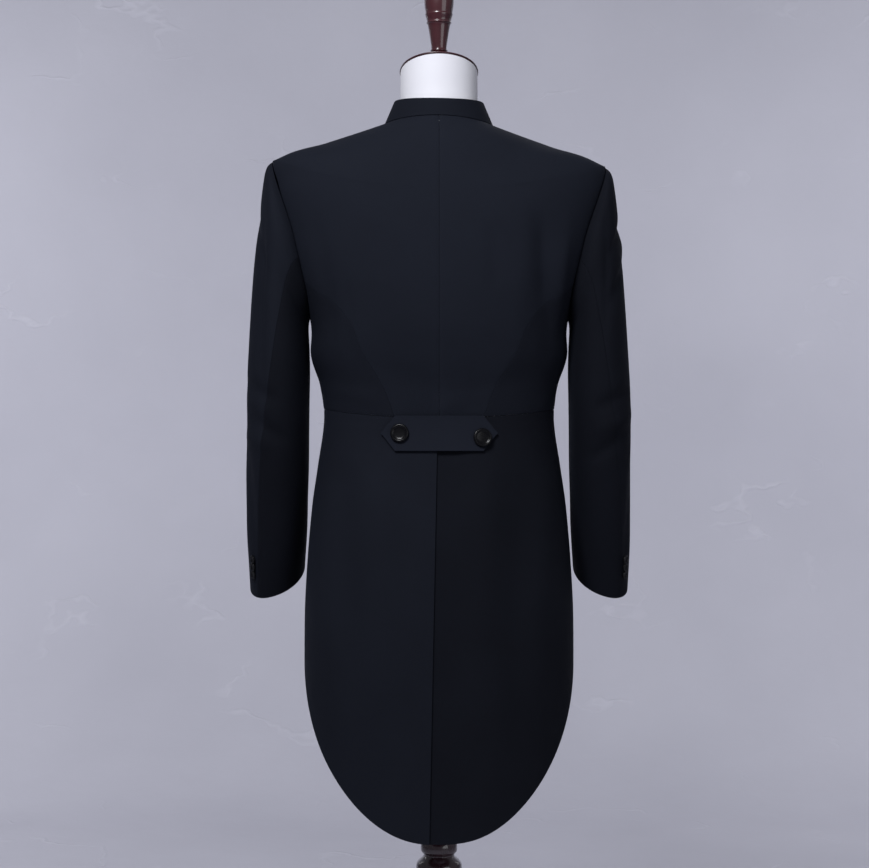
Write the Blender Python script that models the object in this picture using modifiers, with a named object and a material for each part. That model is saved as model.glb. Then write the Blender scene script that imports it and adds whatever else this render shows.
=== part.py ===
"""A tailcoat standing on a limbless dress form, built piece by piece as it is cut and sewn.

Metres, +Z up. The origin is on the floor under the middle of the stand. The back of the
coat faces -Y and the wearer's left is at -X. Every cloth piece is a wall between an outer
and an inner surface, worked out from the named sizes and section tables below.
"""
import math

import bmesh
import bpy
import numpy as np
from mathutils import Matrix, Vector

# Cloth walls and gaps
CLOTH = 0.0022
COLLAR_CLOTH = 0.0030
BELT_CLOTH = 0.0028
SEAM_GAP = 0.0003
PANEL_GAP = 0.0009
ARMHOLE_GAP = 0.0009
LAP = CLOTH + 0.0010
LEFT, RIGHT = -1, 1
SIDES = {"left": LEFT, "right": RIGHT}

# Sections of the coat above the waist, from the neckline down
BODY_COLUMNS = ("z_back", "z_side", "z_front", "half_width", "back", "front", "squareness")
BODY_SECTIONS = {
    "neckline":     (1.4670, 1.4615, 1.4050, 0.0755, 0.0700, 0.0700, 2.0),
    "mid_shoulder": (1.4230, 1.4355, 1.3720, 0.1525, 0.1040, 0.0920, 2.1),
    "shoulder":     (1.3650, 1.4090, 1.3250, 0.2290, 0.1210, 0.1080, 2.3),
    "blade":        (1.2900, 1.3020, 1.2700, 0.2130, 0.1280, 0.1220, 2.5),
    "underarm":     (1.1970, 1.1970, 1.1970, 0.1780, 0.1270, 0.1300, 2.5),
    "chest":        (1.1450, 1.1450, 1.1450, 0.1762, 0.1190, 0.1270, 2.4),
    "ribs":         (1.1000, 1.1050, 1.1000, 0.1635, 0.1080, 0.1200, 2.4),
    "waist":        (1.0600, 1.0720, 1.0550, 0.1585, 0.1020, 0.1140, 2.4),
}
LEVEL = {name: float(number) for number, name in enumerate(BODY_SECTIONS)}

# Sections of the skirt, by height, from the waist seam down
SKIRT_COLUMNS = ("height", "half_width", "back", "front", "squareness")
SKIRT_SECTIONS = (
    (1.080, 0.1585, 0.1020, 0.1140, 2.4),
    (1.050, 0.1588, 0.1025, 0.1140, 2.4),
    (1.000, 0.1660, 0.1100, 0.1160, 2.4),
    (0.945, 0.1740, 0.1190, 0.1180, 2.4),
    (0.880, 0.1800, 0.1260, 0.1190, 2.4),
    (0.800, 0.1845, 0.1300, 0.1190, 2.4),
    (0.700, 0.1850, 0.1320, 0.1190, 2.4),
    (0.480, 0.1840, 0.1320, 0.1190, 2.4),
)

# The hem sweeps from the tail's tip at the centre back up to the front of the waist
HEM_SIDE = 0.740
HEM_SLOPE = 0.225
HEM_TIP = 0.018
HEM_FRONT_RISE = 0.088

# The armhole on the body, in degrees round from the centre back
ARMHOLE_MIDDLE = 90.0
ARMHOLE_REACH = 26.0

# Seams of the body, in degrees round from the centre back
SIDE_BACK_SEAM = {"blade": 64.0, "underarm": 41.0, "chest": 31.0, "ribs": 23.0, "waist": 18.0}
SIDE_BACK_TURN = 122.0
SIDE_FRONT_SEAM = 100.0
SIDE_FRONT_TURN = 203.0
FRONT_LAP = 8.0
LAP_RAMP = 12.0

# The vent: its edge on the lapping left tail drifts from the centre, the right runs under it
VENT_EDGE_TOP = -0.002
VENT_EDGE_FOOT = -0.013
VENT_UNDERLAP = 0.042

# Sections of a sleeve, from the armhole to the cuff, seen on the wearer's right
SLEEVE_COLUMNS = ("outer_x", "outer_z", "inner_x", "inner_z", "middle_y", "half_depth", "slant")
SLEEVE_SECTIONS = (
    (0.2295, 1.4090, 0.1785, 1.1970, 0.000, 0.0660, 0.0),
    (0.2375, 1.3990, 0.1800, 1.1925, -0.001, 0.0740, 0.0),
    (0.2420, 1.3750, 0.1803, 1.1850, -0.002, 0.0775, 0.0),
    (0.2465, 1.3350, 0.1800, 1.1760, -0.002, 0.0780, 0.0),
    (0.2510, 1.2850, 0.1793, 1.1650, -0.002, 0.0780, 0.0),
    (0.2560, 1.2150, 0.1786, 1.1500, -0.002, 0.0780, 0.0),
    (0.2600, 1.1500, 0.1780, 1.1180, -0.003, 0.0765, 0.0),
    (0.2630, 1.0950, 0.1787, 1.0800, -0.003, 0.0730, 0.0),
    (0.2640, 1.0450, 0.1793, 1.0400, 0.001, 0.0700, 0.0),
    (0.2650, 0.9900, 0.1802, 0.9950, 0.010, 0.0650, -0.006),
    (0.2655, 0.9350, 0.1822, 0.9500, 0.022, 0.0600, -0.012),
    (0.2663, 0.8850, 0.1840, 0.9050, 0.036, 0.0560, -0.018),
    (0.2650, 0.8255, 0.1884, 0.8500, 0.054, 0.0500, -0.0238),
)
SLEEVE_SQUARENESS = 2.15
SLEEVE_REACH = 0.06
ARMHOLE_FADE = 3.0
HIND_SEAM_TOP, HIND_SEAM_CUFF = 104.0, 52.0
FORE_SEAM_TOP, FORE_SEAM_CUFF = -100.0, -122.0

# The stand collar, from its neck seam up
COLLAR_TOP = {"z_back": 1.4915, "z_side": 1.4945, "z_front": 1.4330,
              "half_width": 0.0615, "back": 0.0630, "front": 0.0640}
COLLAR_FRONT_GAP = 2.0
COLLAR_GAP = 0.0007

# The half belt and its buttons
BELT_HALF_LENGTH = 0.0770
BELT_TAPER = 0.0185
BELT_TOP, BELT_FOOT = 1.0625, 1.0150
BELT_STANDOFF = 0.0008
BELT_BUTTONS = {"left": (-0.0520, 1.0385), "right": (0.0570, 1.0325)}

# Buttons: radius and thickness
BELT_BUTTON = (0.0125, 0.0042)
CUFF_BUTTON = (0.0055, 0.0028)
FRONT_BUTTON = (0.0105, 0.0038)
CUFF_BUTTON_HEIGHTS = (0.8655, 0.8545, 0.8435)
CUFF_BUTTON_INSET = 9.0
FRONT_BUTTON_HEIGHTS = (1.365, 1.270, 1.175, 1.085)

# The shoulders of the coat and of the form slope down a little towards the wearer's right
LEAN = 0.018
LEAN_START, LEAN_FULL = 1.10, 1.38
LEAN_FADE, LEAN_GONE = 1.492, 1.512

# The dress form
FORM_CLEARANCE = 0.0045
FORM_REST = 0.0006
FORM_ARM_PLATE = 0.186
FORM_ARM_BULGE = 0.2
FORM_FOOT = 0.870
FORM_SKIRT_HEIGHTS = (1.062, 1.030, 0.985, 0.940, 0.900, FORM_FOOT)
FORM_FOOT_INSET = 0.018
NECK_RADIUS = 0.053
NECK_MIDDLE_Y = -0.004
NECK_TOP = 1.5330
NECK_SLOPE = 0.34
NECK_FOOT = 1.4760
FORM_COLUMNS = 40
FORM_LEVELS = (0.35, 0.7, 1.05, 1.4, 1.7, 2.0, 2.2, 2.5, 2.8, 3.1, 3.5, 4.0, 4.6, 5.2, 6.0, 6.6)
RIDGE_TURN, RIDGE_IN, RIDGE_OUT = (58, 82), (0.3, 0.7), (1.4, 1.9)
FLARE_SHARE, FLARE_DROP = 0.55, 0.004

# The neck cap with its turned finial, and the stand
CAP_THICKNESS = 0.0065
CAP_PROUD = 0.0012
CAP_TOP_SHARE = 0.80
FINIAL_PROFILE = (
    (0.0000, 1.6890), (0.0090, 1.6875), (0.0165, 1.6800), (0.0200, 1.6670), (0.0203, 1.6330),
    (0.0185, 1.6180), (0.0190, 1.6155), (0.0165, 1.6070), (0.0172, 1.6040), (0.0150, 1.5990),
    (0.0105, 1.5700), (0.0120, 1.5660), (0.0100, 1.5620), (0.0085, 1.5450), (0.0085, 1.5382),
    (0.0000, 1.5382),
)
BASE_RADIUS = 0.190
BASE_EDGE = 0.006
BASE_THICKNESS = 0.020
BASE_STEPS = 36
POLE_PROFILE_TOP = 0.8697
POLE_PROFILE = (
    (0.0180, 0.4800), (0.0225, 0.4780), (0.0250, 0.4725), (0.0250, 0.4640), (0.0215, 0.4590),
    (0.0220, 0.4560), (0.0300, 0.4480), (0.0318, 0.4380), (0.0310, 0.4100), (0.0230, 0.3300),
    (0.0190, 0.2400), (0.0190, 0.0900), (0.0260, 0.0740), (0.0270, 0.0620), (0.0220, 0.0520),
    (0.0400, 0.0300), (0.0450, 0.0203),
)
TURNED_STEPS = 18


def smooth_rows(rows, at):
    """Smooth curve through the rows of a table, read at fractional row numbers."""
    rows = np.asarray(rows, float)
    at = np.clip(np.asarray(at, float), 0.0, len(rows) - 1.0)
    slope = np.gradient(rows, axis=0)
    low = np.minimum(at.astype(int), len(rows) - 2)
    part = (at - low)[..., None]
    square, cube = part ** 2, part ** 3
    return (
        (2 * cube - 3 * square + 1) * rows[low]
        + (cube - 2 * square + part) * slope[low]
        + (3 * square - 2 * cube) * rows[low + 1]
        + (cube - square) * slope[low + 1]
    )


def straight_rows(rows, at):
    """Straight lines through the rows of a table, read at fractional row numbers."""
    rows = np.asarray(rows, float)
    at = np.clip(np.asarray(at, float), 0.0, len(rows) - 1.0)
    low = np.minimum(at.astype(int), len(rows) - 2)
    part = (at - low)[..., None]
    return rows[low] * (1 - part) + rows[low + 1] * part


def ease(value, start, end):
    """0 before start, 1 after end, and a smooth step between."""
    part = np.clip((np.asarray(value, float) - start) / (end - start), 0.0, 1.0)
    return part * part * (3 - 2 * part)


def signed_power(value, power):
    return np.sign(value) * np.abs(value) ** power


def ring(angle, half_width, back, front, squareness):
    """Plan of a section at an angle round from the centre back: x and y of a squared ellipse."""
    turn = np.radians(angle)
    power = 2.0 / squareness
    x = half_width * signed_power(np.sin(turn), power)
    forward = -signed_power(np.cos(turn), power)
    y = np.where(forward < 0, forward * back, forward * front)
    return x, y


def body(angle, level):
    """Outer surface of the coat's right half above the waist; the angle runs from the back."""
    angle, level = np.broadcast_arrays(np.asarray(angle, float), np.asarray(level, float))
    rows = list(BODY_SECTIONS.values())
    curve = smooth_rows(rows, level)
    straight = straight_rows(rows, level)
    on_shoulder = ease(90 - np.abs(angle - 90), 60, 88) * (level <= LEVEL["shoulder"] + 1e-9)
    curve = curve + (straight - curve) * on_shoulder[..., None]
    z_back, z_side, z_front, half_width, back, front, squareness = np.moveaxis(curve, -1, 0)
    x, y = ring(angle, half_width, back, front, squareness)
    sideways = np.sin(np.radians(angle)) ** 2
    z_end = np.where(np.abs(angle) < 90, z_back, z_front)
    return np.stack([x, y, z_end + (z_side - z_end) * sideways], axis=-1)


def skirt(angle, height):
    """Outer surface of the coat's right half below the waist, at an angle and a height."""
    angle, height = np.broadcast_arrays(np.asarray(angle, float), np.asarray(height, float))
    table = np.asarray(SKIRT_SECTIONS)
    row = np.interp(-height, -table[:, 0], np.arange(len(table)))
    section = smooth_rows(table[:, 1:], row)
    x, y = ring(angle, *np.moveaxis(section, -1, 0))
    return np.stack([x, y, height], axis=-1)


def moved_in(surface, first, second, depth, side_step=0.4, down_step=None):
    """Points of a surface moved along its inward normal, which crosses its two directions."""
    down_step = down_step or 0.02
    across = surface(first + side_step, second) - surface(first - side_step, second)
    along = surface(first, second + down_step) - surface(first, second - down_step)
    normal = np.cross(across, along)
    normal /= np.linalg.norm(normal, axis=-1, keepdims=True)
    points = surface(first, second)
    outward = np.stack([points[..., 0], points[..., 1], np.full(points.shape[:-1], 0.02)], axis=-1)
    flip = np.sign(np.sum(normal * outward, axis=-1, keepdims=True))
    return points - normal * flip * np.asarray(depth)[..., None]


def lean(points):
    """Tilt of the shoulders: height changes with x, from the ribs up to the collar."""
    points = np.array(points, float)
    height = points[..., 2]
    share = ease(height, LEAN_START, LEAN_FULL) * (1 - ease(height, LEAN_FADE, LEAN_GONE))
    points[..., 2] = height - LEAN * points[..., 0] * share
    return points


def finish_material(name, colour, roughness, metallic=0.0):
    material = bpy.data.materials.get(name) or bpy.data.materials.new(name)
    material.use_nodes = True
    shader = material.node_tree.nodes["Principled BSDF"]
    shader.inputs["Base Color"].default_value = (*colour, 1.0)
    shader.inputs["Roughness"].default_value = roughness
    shader.inputs["Metallic"].default_value = metallic
    return material


def wool(name):
    return finish_material("wool_" + name, (0.010, 0.011, 0.016), 0.85)


def add_object(name, mesh, material):
    piece = bpy.data.objects.new(name, mesh)
    piece.data.materials.append(material)
    COAT.objects.link(piece)
    return piece


def mesh_from(name, points, faces, merge=0.0):
    """Mesh with its faces turned outwards."""
    mesh = bpy.data.meshes.new(name)
    mesh.from_pydata([tuple(point) for point in points], [], [tuple(face) for face in faces])
    work = bmesh.new()
    work.from_mesh(mesh)
    if merge:
        bmesh.ops.remove_doubles(work, verts=work.verts, dist=merge)
    bmesh.ops.recalc_face_normals(work, faces=work.faces)
    work.to_mesh(mesh)
    work.free()
    mesh.shade_smooth()
    mesh.set_sharp_from_angle(angle=math.radians(40))
    return mesh


def grid_faces(rows, columns, start=0, closed=False):
    """Quads of a grid of points; a closed grid joins its last column to its first."""
    row, column = np.meshgrid(np.arange(rows - 1), np.arange(columns - (not closed)), indexing="ij")
    beside = (column + 1) % columns
    corners = (row * columns + column, row * columns + beside,
               (row + 1) * columns + beside, (row + 1) * columns + column)
    return (np.stack(corners, axis=-1).reshape(-1, 4) + start).tolist()


def wall(name, outer, inner, material):
    """Closed cloth wall between an outer and an inner grid, with a rim along its four edges."""
    rows, columns = outer.shape[:2]
    count = rows * columns
    number = np.arange(count).reshape(rows, columns)
    edge = np.concatenate([number[0, :-1], number[:-1, -1], number[-1, :0:-1], number[:0:-1, 0]])
    after = np.roll(edge, -1)
    rim = np.stack([edge, after, after + count, edge + count], axis=-1).tolist()
    faces = grid_faces(rows, columns) + grid_faces(rows, columns, count) + rim
    points = np.concatenate([outer.reshape(-1, 3), inner.reshape(-1, 3)])
    return add_object(name, mesh_from(name, lean(points), faces), material)


def mirrored(points, side):
    return points * np.array([side, 1.0, 1.0])


def armhole(turn):
    """Angle and level of the armhole's edge, by degrees round it from the shoulder point."""
    around = np.radians(turn)
    angle = ARMHOLE_MIDDLE - ARMHOLE_REACH * np.sin(around)
    half = (LEVEL["underarm"] - LEVEL["shoulder"]) / 2
    level = LEVEL["shoulder"] + half * (1 - np.cos(around))
    return angle, level


def turn_at(level):
    """Degrees round the back of the armhole where it crosses a level."""
    half = (LEVEL["underarm"] - LEVEL["shoulder"]) / 2
    return np.degrees(np.arccos(np.clip(1 - (level - LEVEL["shoulder"]) / half, -1, 1)))


SIDE_BACK_START = armhole(SIDE_BACK_TURN)
SIDE_FRONT_START = armhole(SIDE_FRONT_TURN)


def side_back_seam(level):
    """Angle of the seam between back and side body, from the armhole to the waist."""
    start_angle, start_level = SIDE_BACK_START
    below = [name for name in SIDE_BACK_SEAM if LEVEL[name] > start_level]
    levels = [start_level] + [LEVEL[name] for name in below]
    angles = [start_angle] + [SIDE_BACK_SEAM[name] for name in below]
    dense = np.linspace(0, len(levels) - 1, 60)
    smooth = smooth_rows(np.stack([levels, angles], axis=-1), dense)
    return np.interp(level, smooth[:, 0], smooth[:, 1])


def side_front_seam(level):
    """Angle of the seam between side body and front, from the armhole to the waist."""
    start_angle, start_level = SIDE_FRONT_START
    return start_angle + (SIDE_FRONT_SEAM - start_angle) * ease(level, start_level, LEVEL["ribs"])


def outer_edge(level, seam, start_level, facing):
    """Angle of a back's or front's outer edge: shoulder seam, then armhole, then side seam."""
    angle, _ = armhole(turn_at(level))
    angle = 90 + facing * (90 - angle)
    edge = np.where(level < LEVEL["shoulder"], 90.0, angle)
    return np.where(level > start_level, seam(np.maximum(level, start_level)), edge)


def edge_gap(level):
    """Seam gap as degrees at a level, from the width of the section there."""
    width = smooth_rows(list(BODY_SECTIONS.values()), level)[..., 3]
    return np.degrees(PANEL_GAP / 2 / np.maximum(width * 0.8, 0.05))


BODY_STEPS = (0.0, 0.35, 0.7, 1.05, 1.4, 1.7, 2.0, 2.2, 2.5, 2.8, 3.1)
LOWER_STEPS = 11
BACK_ACROSS, FRONT_ACROSS = 11, 12
COLLAR_ROUND, COLLAR_UP = 37, 4
BELT_ENDS, BELT_MIDDLE, BELT_UP = 3, 13, 5


def quarter_gap(level, reach):
    """Angle from a quarter turn, where the ring is flat, that leaves half a seam gap."""
    squareness = smooth_rows(list(BODY_SECTIONS.values()), level)[..., 6]
    return np.degrees(np.arcsin((SEAM_GAP / 2 / reach) ** (squareness / 2)))


def panel_gap(level):
    """Half the gap at a panel's outer edge: shoulder seam first, then armhole and side seam."""
    at_shoulder = quarter_gap(level, smooth_rows(list(BODY_SECTIONS.values()), level)[..., 4])
    return np.where(level < LEVEL["shoulder"], at_shoulder, edge_gap(level))


def body_levels(start_level):
    """Levels of a back's or front's rows, with one at the shoulder and one at the side seam."""
    upper = [step for step in BODY_STEPS if step < start_level - 0.12]
    lower = np.linspace(start_level, LEVEL["waist"], LOWER_STEPS)
    return np.concatenate([upper, lower])


def lap_depth(angle, side):
    """How far a right-hand piece runs under the left-hand one near the centre front."""
    near = ease(np.asarray(angle, float), 180 - FRONT_LAP - LAP_RAMP, 180 - FRONT_LAP)
    return LAP * near * (side == RIGHT)


def body_wall(name, angle, level, side, material):
    """Cloth wall cut from the body surface over a grid of angles and levels."""
    depth = lap_depth(angle, side)
    outer = moved_in(body, angle, level, depth + 0 * angle)
    inner = moved_in(body, angle, level, depth + CLOTH + 0 * angle)
    return wall(name, mirrored(outer, side), mirrored(inner, side), material)


def make_back(side_name):
    """Back: centre-back seam to shoulder seam, armhole and side-back seam."""
    side = SIDES[side_name]
    levels = body_levels(SIDE_BACK_START[1])[:, None]
    far = outer_edge(levels, side_back_seam, SIDE_BACK_START[1], -1) - panel_gap(levels)
    near = quarter_gap(levels, smooth_rows(list(BODY_SECTIONS.values()), levels)[..., 3])
    share = np.linspace(0, 1, BACK_ACROSS)[None, :]
    angle = near + (far - near) * share
    level = levels + 0 * angle
    body_wall("back_" + side_name, angle, level, side, wool("back_" + side_name))


def make_front(side_name):
    """Front: side-front seam, armhole and shoulder seam to the lapped front edge."""
    side = SIDES[side_name]
    levels = body_levels(SIDE_FRONT_START[1])[:, None]
    near = outer_edge(levels, side_front_seam, SIDE_FRONT_START[1], 1) + panel_gap(levels)
    far = 180 + FRONT_LAP
    share = np.linspace(0, 1, FRONT_ACROSS)[None, :]
    angle = near + (far - near) * share
    level = levels + 0 * angle
    body_wall("front_" + side_name, angle, level, side, wool("front_" + side_name))


def make_side(side_name):
    """Side body under the arm: its top edge is the foot of the armhole."""
    side = SIDES[side_name]
    columns, rows = 9, LOWER_STEPS
    across = np.linspace(0, 1, columns)[None, :]
    down = np.linspace(0, 1, rows)[:, None]
    top_angle, top_level = armhole(SIDE_BACK_TURN + (SIDE_FRONT_TURN - SIDE_BACK_TURN) * across)
    level = top_level + (LEVEL["waist"] - top_level) * down
    foot_back, foot_front = SIDE_BACK_SEAM["waist"], SIDE_FRONT_SEAM
    foot = foot_back + (foot_front - foot_back) * across
    back_edge = side_back_seam(level[:, :1])
    front_edge = side_front_seam(level[:, -1:])
    corners = (1 - down) * (top_angle[:, :1] * (1 - across) + top_angle[:, -1:] * across)
    corners = corners + down * (foot_back * (1 - across) + foot_front * across)
    angle = (1 - down) * top_angle + down * foot
    angle = angle + back_edge * (1 - across) + front_edge * across - corners
    gap = edge_gap(level)
    angle = angle + gap * (1 - 2 * across)
    body_wall("side_" + side_name, angle, level, side, wool("side_" + side_name))


def waist_height(angle):
    """Height of the waist seam round the coat."""
    return body(angle, LEVEL["waist"])[..., 2]


def hem_height(angle):
    """Height of the hem: a plane cut round the back, a tip at the tail, a rise at the front."""
    toward_back = np.cos(np.radians(angle))
    tip = HEM_TIP * np.maximum(toward_back, 0) ** 6
    rise = HEM_FRONT_RISE * np.minimum(toward_back, 0) ** 2
    return HEM_SIDE - HEM_SLOPE * toward_back - tip + rise


def angle_at_x(x, height):
    """Angle near the centre back where the skirt is x away from the middle."""
    table = np.asarray(SKIRT_SECTIONS)
    width = np.interp(-height, -table[:, 0], table[:, 1])
    return np.degrees(np.arcsin(signed_power(x / width, SKIRT_SECTIONS[0][4] / 2)))


def make_tail(side_name):
    """Tail: one cut-away skirt from the vent to the front edge, hung from the waist seam."""
    side = SIDES[side_name]
    columns, rows = 19, 15
    across = np.linspace(0, 1, columns)[None, :] ** 1.1
    down = np.linspace(0, 1, rows)[:, None]
    far = 180 + FRONT_LAP
    plain = far * across
    height = waist_height(plain) - SEAM_GAP + (hem_height(plain) - waist_height(plain)) * down
    drift = VENT_EDGE_TOP + (VENT_EDGE_FOOT - VENT_EDGE_TOP) * down
    edge_x = -drift if side == LEFT else drift - VENT_UNDERLAP
    near = angle_at_x(edge_x, height[:, :1])
    angle = near + (far - near) * across
    height = waist_height(angle) - SEAM_GAP + (hem_height(angle) + SEAM_GAP - waist_height(angle)) * down
    under = LAP * (1 - ease(angle, 2.0, 2.0 + LAP_RAMP)) * (side == RIGHT)
    depth = under + lap_depth(angle, side)
    outer = moved_in(skirt, angle, height, depth, down_step=0.002)
    inner = moved_in(skirt, angle, height, depth + CLOTH, down_step=0.002)
    name = "tail_" + side_name
    wall(name, mirrored(outer, side), mirrored(inner, side), wool(name))


def sleeve(turn, along):
    """Outer surface of the right sleeve: degrees round it from the outside, sections down it."""
    turn, along = np.broadcast_arrays(np.asarray(turn, float), np.asarray(along, float))

    def oval(at):
        section = smooth_rows(SLEEVE_SECTIONS, at)
        outer_x, outer_z, inner_x, inner_z, middle_y, half_depth, slant = np.moveaxis(section, -1, 0)
        around = np.radians(turn)
        power = 2.0 / SLEEVE_SQUARENESS
        out = signed_power(np.cos(around), power)
        back = signed_power(np.sin(around), power)
        x = (outer_x + inner_x) / 2 + (outer_x - inner_x) / 2 * out
        z = (outer_z + inner_z) / 2 + (outer_z - inner_z) / 2 * out + slant * back
        return np.stack([x, middle_y - half_depth * back, z], axis=-1)

    edge = body(*armhole(turn)) + np.array([ARMHOLE_GAP, 0.0, 0.0])
    pull = (1 - ease(along, 0.0, ARMHOLE_FADE))[..., None]
    return oval(along) + pull * (edge - oval(np.zeros_like(along)))


SLEEVE_ROWS = np.array([0, 0.35, 0.8, 1.4, 2.2, 3.1, 4.1, 5.2, 6.2, 7.2, 8.1, 9.0, 10.0, 11.0, 12.0])


def sleeve_inside(turn, along):
    """Inner surface of the sleeve; at the armhole the wall runs towards the sleeve's middle."""
    step = 0.04
    across = sleeve(turn + 2.0, along) - sleeve(turn - 2.0, along)
    low = np.maximum(along - step, 0.0)
    high = np.minimum(along + step, len(SLEEVE_SECTIONS) - 1.0)
    down = sleeve(turn, high) - sleeve(turn, low)
    normal = np.cross(across, down)
    normal /= np.linalg.norm(normal, axis=-1, keepdims=True)
    middle = np.mean(sleeve(np.linspace(0, 345, 24)[None, :], along[:, :1]), axis=1)[:, None, :]
    inward = middle - sleeve(turn, along)
    normal *= np.sign(np.sum(normal * inward, axis=-1, keepdims=True))
    radial = inward * np.array([0.0, 1.0, 1.0])
    radial /= np.linalg.norm(radial, axis=-1, keepdims=True)
    share = (1 - ease(along, 0.0, 0.6))[..., None]
    direction = normal + share * (radial - normal)
    direction /= np.linalg.norm(direction, axis=-1, keepdims=True)
    return sleeve(turn, along) + direction * CLOTH


def sleeve_seams(along):
    """Turns of the hind-arm and fore-arm seams down the sleeve."""
    share = along / (len(SLEEVE_SECTIONS) - 1.0)
    hind = HIND_SEAM_TOP + (HIND_SEAM_CUFF - HIND_SEAM_TOP) * ease(share, 0.1, 1.0)
    fore = FORE_SEAM_TOP + (FORE_SEAM_CUFF - FORE_SEAM_TOP) * share
    return hind, fore


def make_sleeve(side_name):
    """Top sleeve over the outside of the arm and under sleeve inside it."""
    side = SIDES[side_name]
    along = SLEEVE_ROWS[:, None]
    hind, fore = sleeve_seams(along)
    gap = math.degrees(PANEL_GAP / 2 / SLEEVE_REACH)
    pieces = {
        "top_sleeve_": (fore + gap, hind - gap, 13),
        "under_sleeve_": (hind + gap, fore + 360 - gap, 10),
    }
    for prefix, (start, end, columns) in pieces.items():
        turn = start + (end - start) * np.linspace(0, 1, columns)[None, :]
        rows = along + 0 * turn
        name = prefix + side_name
        outer = mirrored(sleeve(turn, rows), side)
        inner = mirrored(sleeve_inside(turn, rows), side)
        wall(name, outer, inner, wool(name))


def collar_point(angle, rise):
    """Outer surface of the stand collar, from the neck seam (0) to its top edge (1)."""
    foot = body(angle, 0.0)
    top = COLLAR_TOP
    x, y = ring(angle, top["half_width"], top["back"], top["front"], 2.0)
    z_end = np.where(np.abs(angle) < 90, top["z_back"], top["z_front"])
    z = z_end + (top["z_side"] - z_end) * np.sin(np.radians(angle)) ** 2
    head = np.stack([x, y, z], axis=-1)
    share = rise[..., None]
    return foot + (head - foot) * share + np.array([0.0, 0.0, COLLAR_GAP])


def make_collar():
    """Stand collar: one band round the neck whose ends meet at the centre front."""
    end = 180 - COLLAR_FRONT_GAP
    angle, rise = np.meshgrid(np.linspace(-end, end, COLLAR_ROUND), np.linspace(0, 1, COLLAR_UP))
    across = collar_point(angle + 0.4, rise) - collar_point(angle - 0.4, rise)
    up = collar_point(angle, rise + 0.02) - collar_point(angle, rise - 0.02)
    normal = np.cross(across, up)
    normal /= np.linalg.norm(normal, axis=-1, keepdims=True)
    outer = collar_point(angle, rise)
    away = outer * np.array([1.0, 1.0, 0.0])
    normal *= np.sign(np.sum(normal * away, axis=-1, keepdims=True))
    normal[0, :, 2] = 0.0
    inner = outer - normal * COLLAR_CLOTH
    wall("collar", outer, inner, wool("collar"))


def belt_point(x, height, out):
    """Point over the back of the waist, moved out from the cloth."""
    angle = angle_at_x(x, height)
    return moved_in(skirt, angle, height, -out + 0 * angle, down_step=0.002)


def make_belt():
    """Half belt: a straight band across the back waist with pointed ends."""
    start = BELT_HALF_LENGTH - BELT_TAPER
    x = np.concatenate([
        np.linspace(-BELT_HALF_LENGTH, -start, BELT_ENDS)[:-1],
        np.linspace(-start, start, BELT_MIDDLE),
        np.linspace(start, BELT_HALF_LENGTH, BELT_ENDS)[1:],
    ])[None, :]
    middle = (BELT_TOP + BELT_FOOT) / 2
    tip = np.clip((BELT_HALF_LENGTH - np.abs(x)) / BELT_TAPER, 0.04, 1.0)
    half = (BELT_TOP - BELT_FOOT) / 2 * tip
    height = middle + half * np.linspace(1, -1, BELT_UP)[:, None]
    x = x + 0 * height
    outer = belt_point(x, height, BELT_STANDOFF + BELT_CLOTH)
    inner = belt_point(x, height, BELT_STANDOFF)
    wall("half_belt", outer, inner, wool("half_belt"))


def turned(name, profile, material, steps=TURNED_STEPS):
    """Turned piece: a profile of radius and height spun round Z."""
    mesh = bpy.data.meshes.new(name)
    points = [(radius, 0.0, height) for radius, height in profile]
    mesh.from_pydata(points, [(i, i + 1) for i in range(len(points) - 1)], [])
    piece = add_object(name, mesh, material)
    spin = piece.modifiers.new("Turned", "SCREW")
    spin.axis = "Z"
    spin.steps = steps
    spin.render_steps = steps
    spin.use_merge_vertices = True
    spin.merge_threshold = 0.0001
    spin.use_smooth_shade = True
    return piece


def button_profile(size):
    """Profile of a button: a dished face inside a raised round rim."""
    radius, thick = size
    return (
        (0.0, thick * 0.62), (radius * 0.62, thick * 0.66), (radius * 0.76, thick),
        (radius * 0.92, thick * 0.92), (radius, thick * 0.5), (radius * 0.9, 0.0), (0.0, 0.0),
    )


def place_button(name, size, point, outward, steps):
    """Button laid on the cloth: its axis follows the cloth's outward direction."""
    black = finish_material("black_button", (0.006, 0.006, 0.007), 0.22)
    piece = turned(name, button_profile(size), black, steps)
    outward = Vector(outward).normalized()
    piece.matrix_world = Matrix.Translation(Vector(point) + outward * SEAM_GAP) @ (
        outward.to_track_quat("Z", "Y").to_matrix().to_4x4()
    )
    return piece


def make_belt_buttons():
    for side_name, (x, height) in BELT_BUTTONS.items():
        at, up = np.array([[x]]), np.array([[height]])
        top = belt_point(at, up, BELT_STANDOFF + BELT_CLOTH)[0, 0]
        above = belt_point(at, up, BELT_STANDOFF + BELT_CLOTH + 0.01)[0, 0]
        place_button("belt_button_" + side_name, BELT_BUTTON, top, above - top, 20)


def sleeve_at_height(turn, height):
    """Place down the sleeve where its back surface is at a height."""
    along = np.linspace(9.0, 12.0, 301)
    heights = sleeve(turn + 0 * along, along)[:, 2]
    return float(np.interp(-height, -heights, along))


def make_cuff_buttons(side_name):
    """Three buttons up the cuff, beside the hind-arm seam."""
    side = SIDES[side_name]
    turn = HIND_SEAM_CUFF - CUFF_BUTTON_INSET
    for number, height in enumerate(CUFF_BUTTON_HEIGHTS, start=1):
        along = np.array([[sleeve_at_height(turn, height)]])
        here = np.array([[turn]])
        point = mirrored(sleeve(here, along)[0, 0], side)
        inside = mirrored(sleeve_inside(here, along)[0, 0], side)
        name = f"cuff_button_{side_name}_{number}"
        place_button(name, CUFF_BUTTON, point, point - inside, 12)


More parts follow.
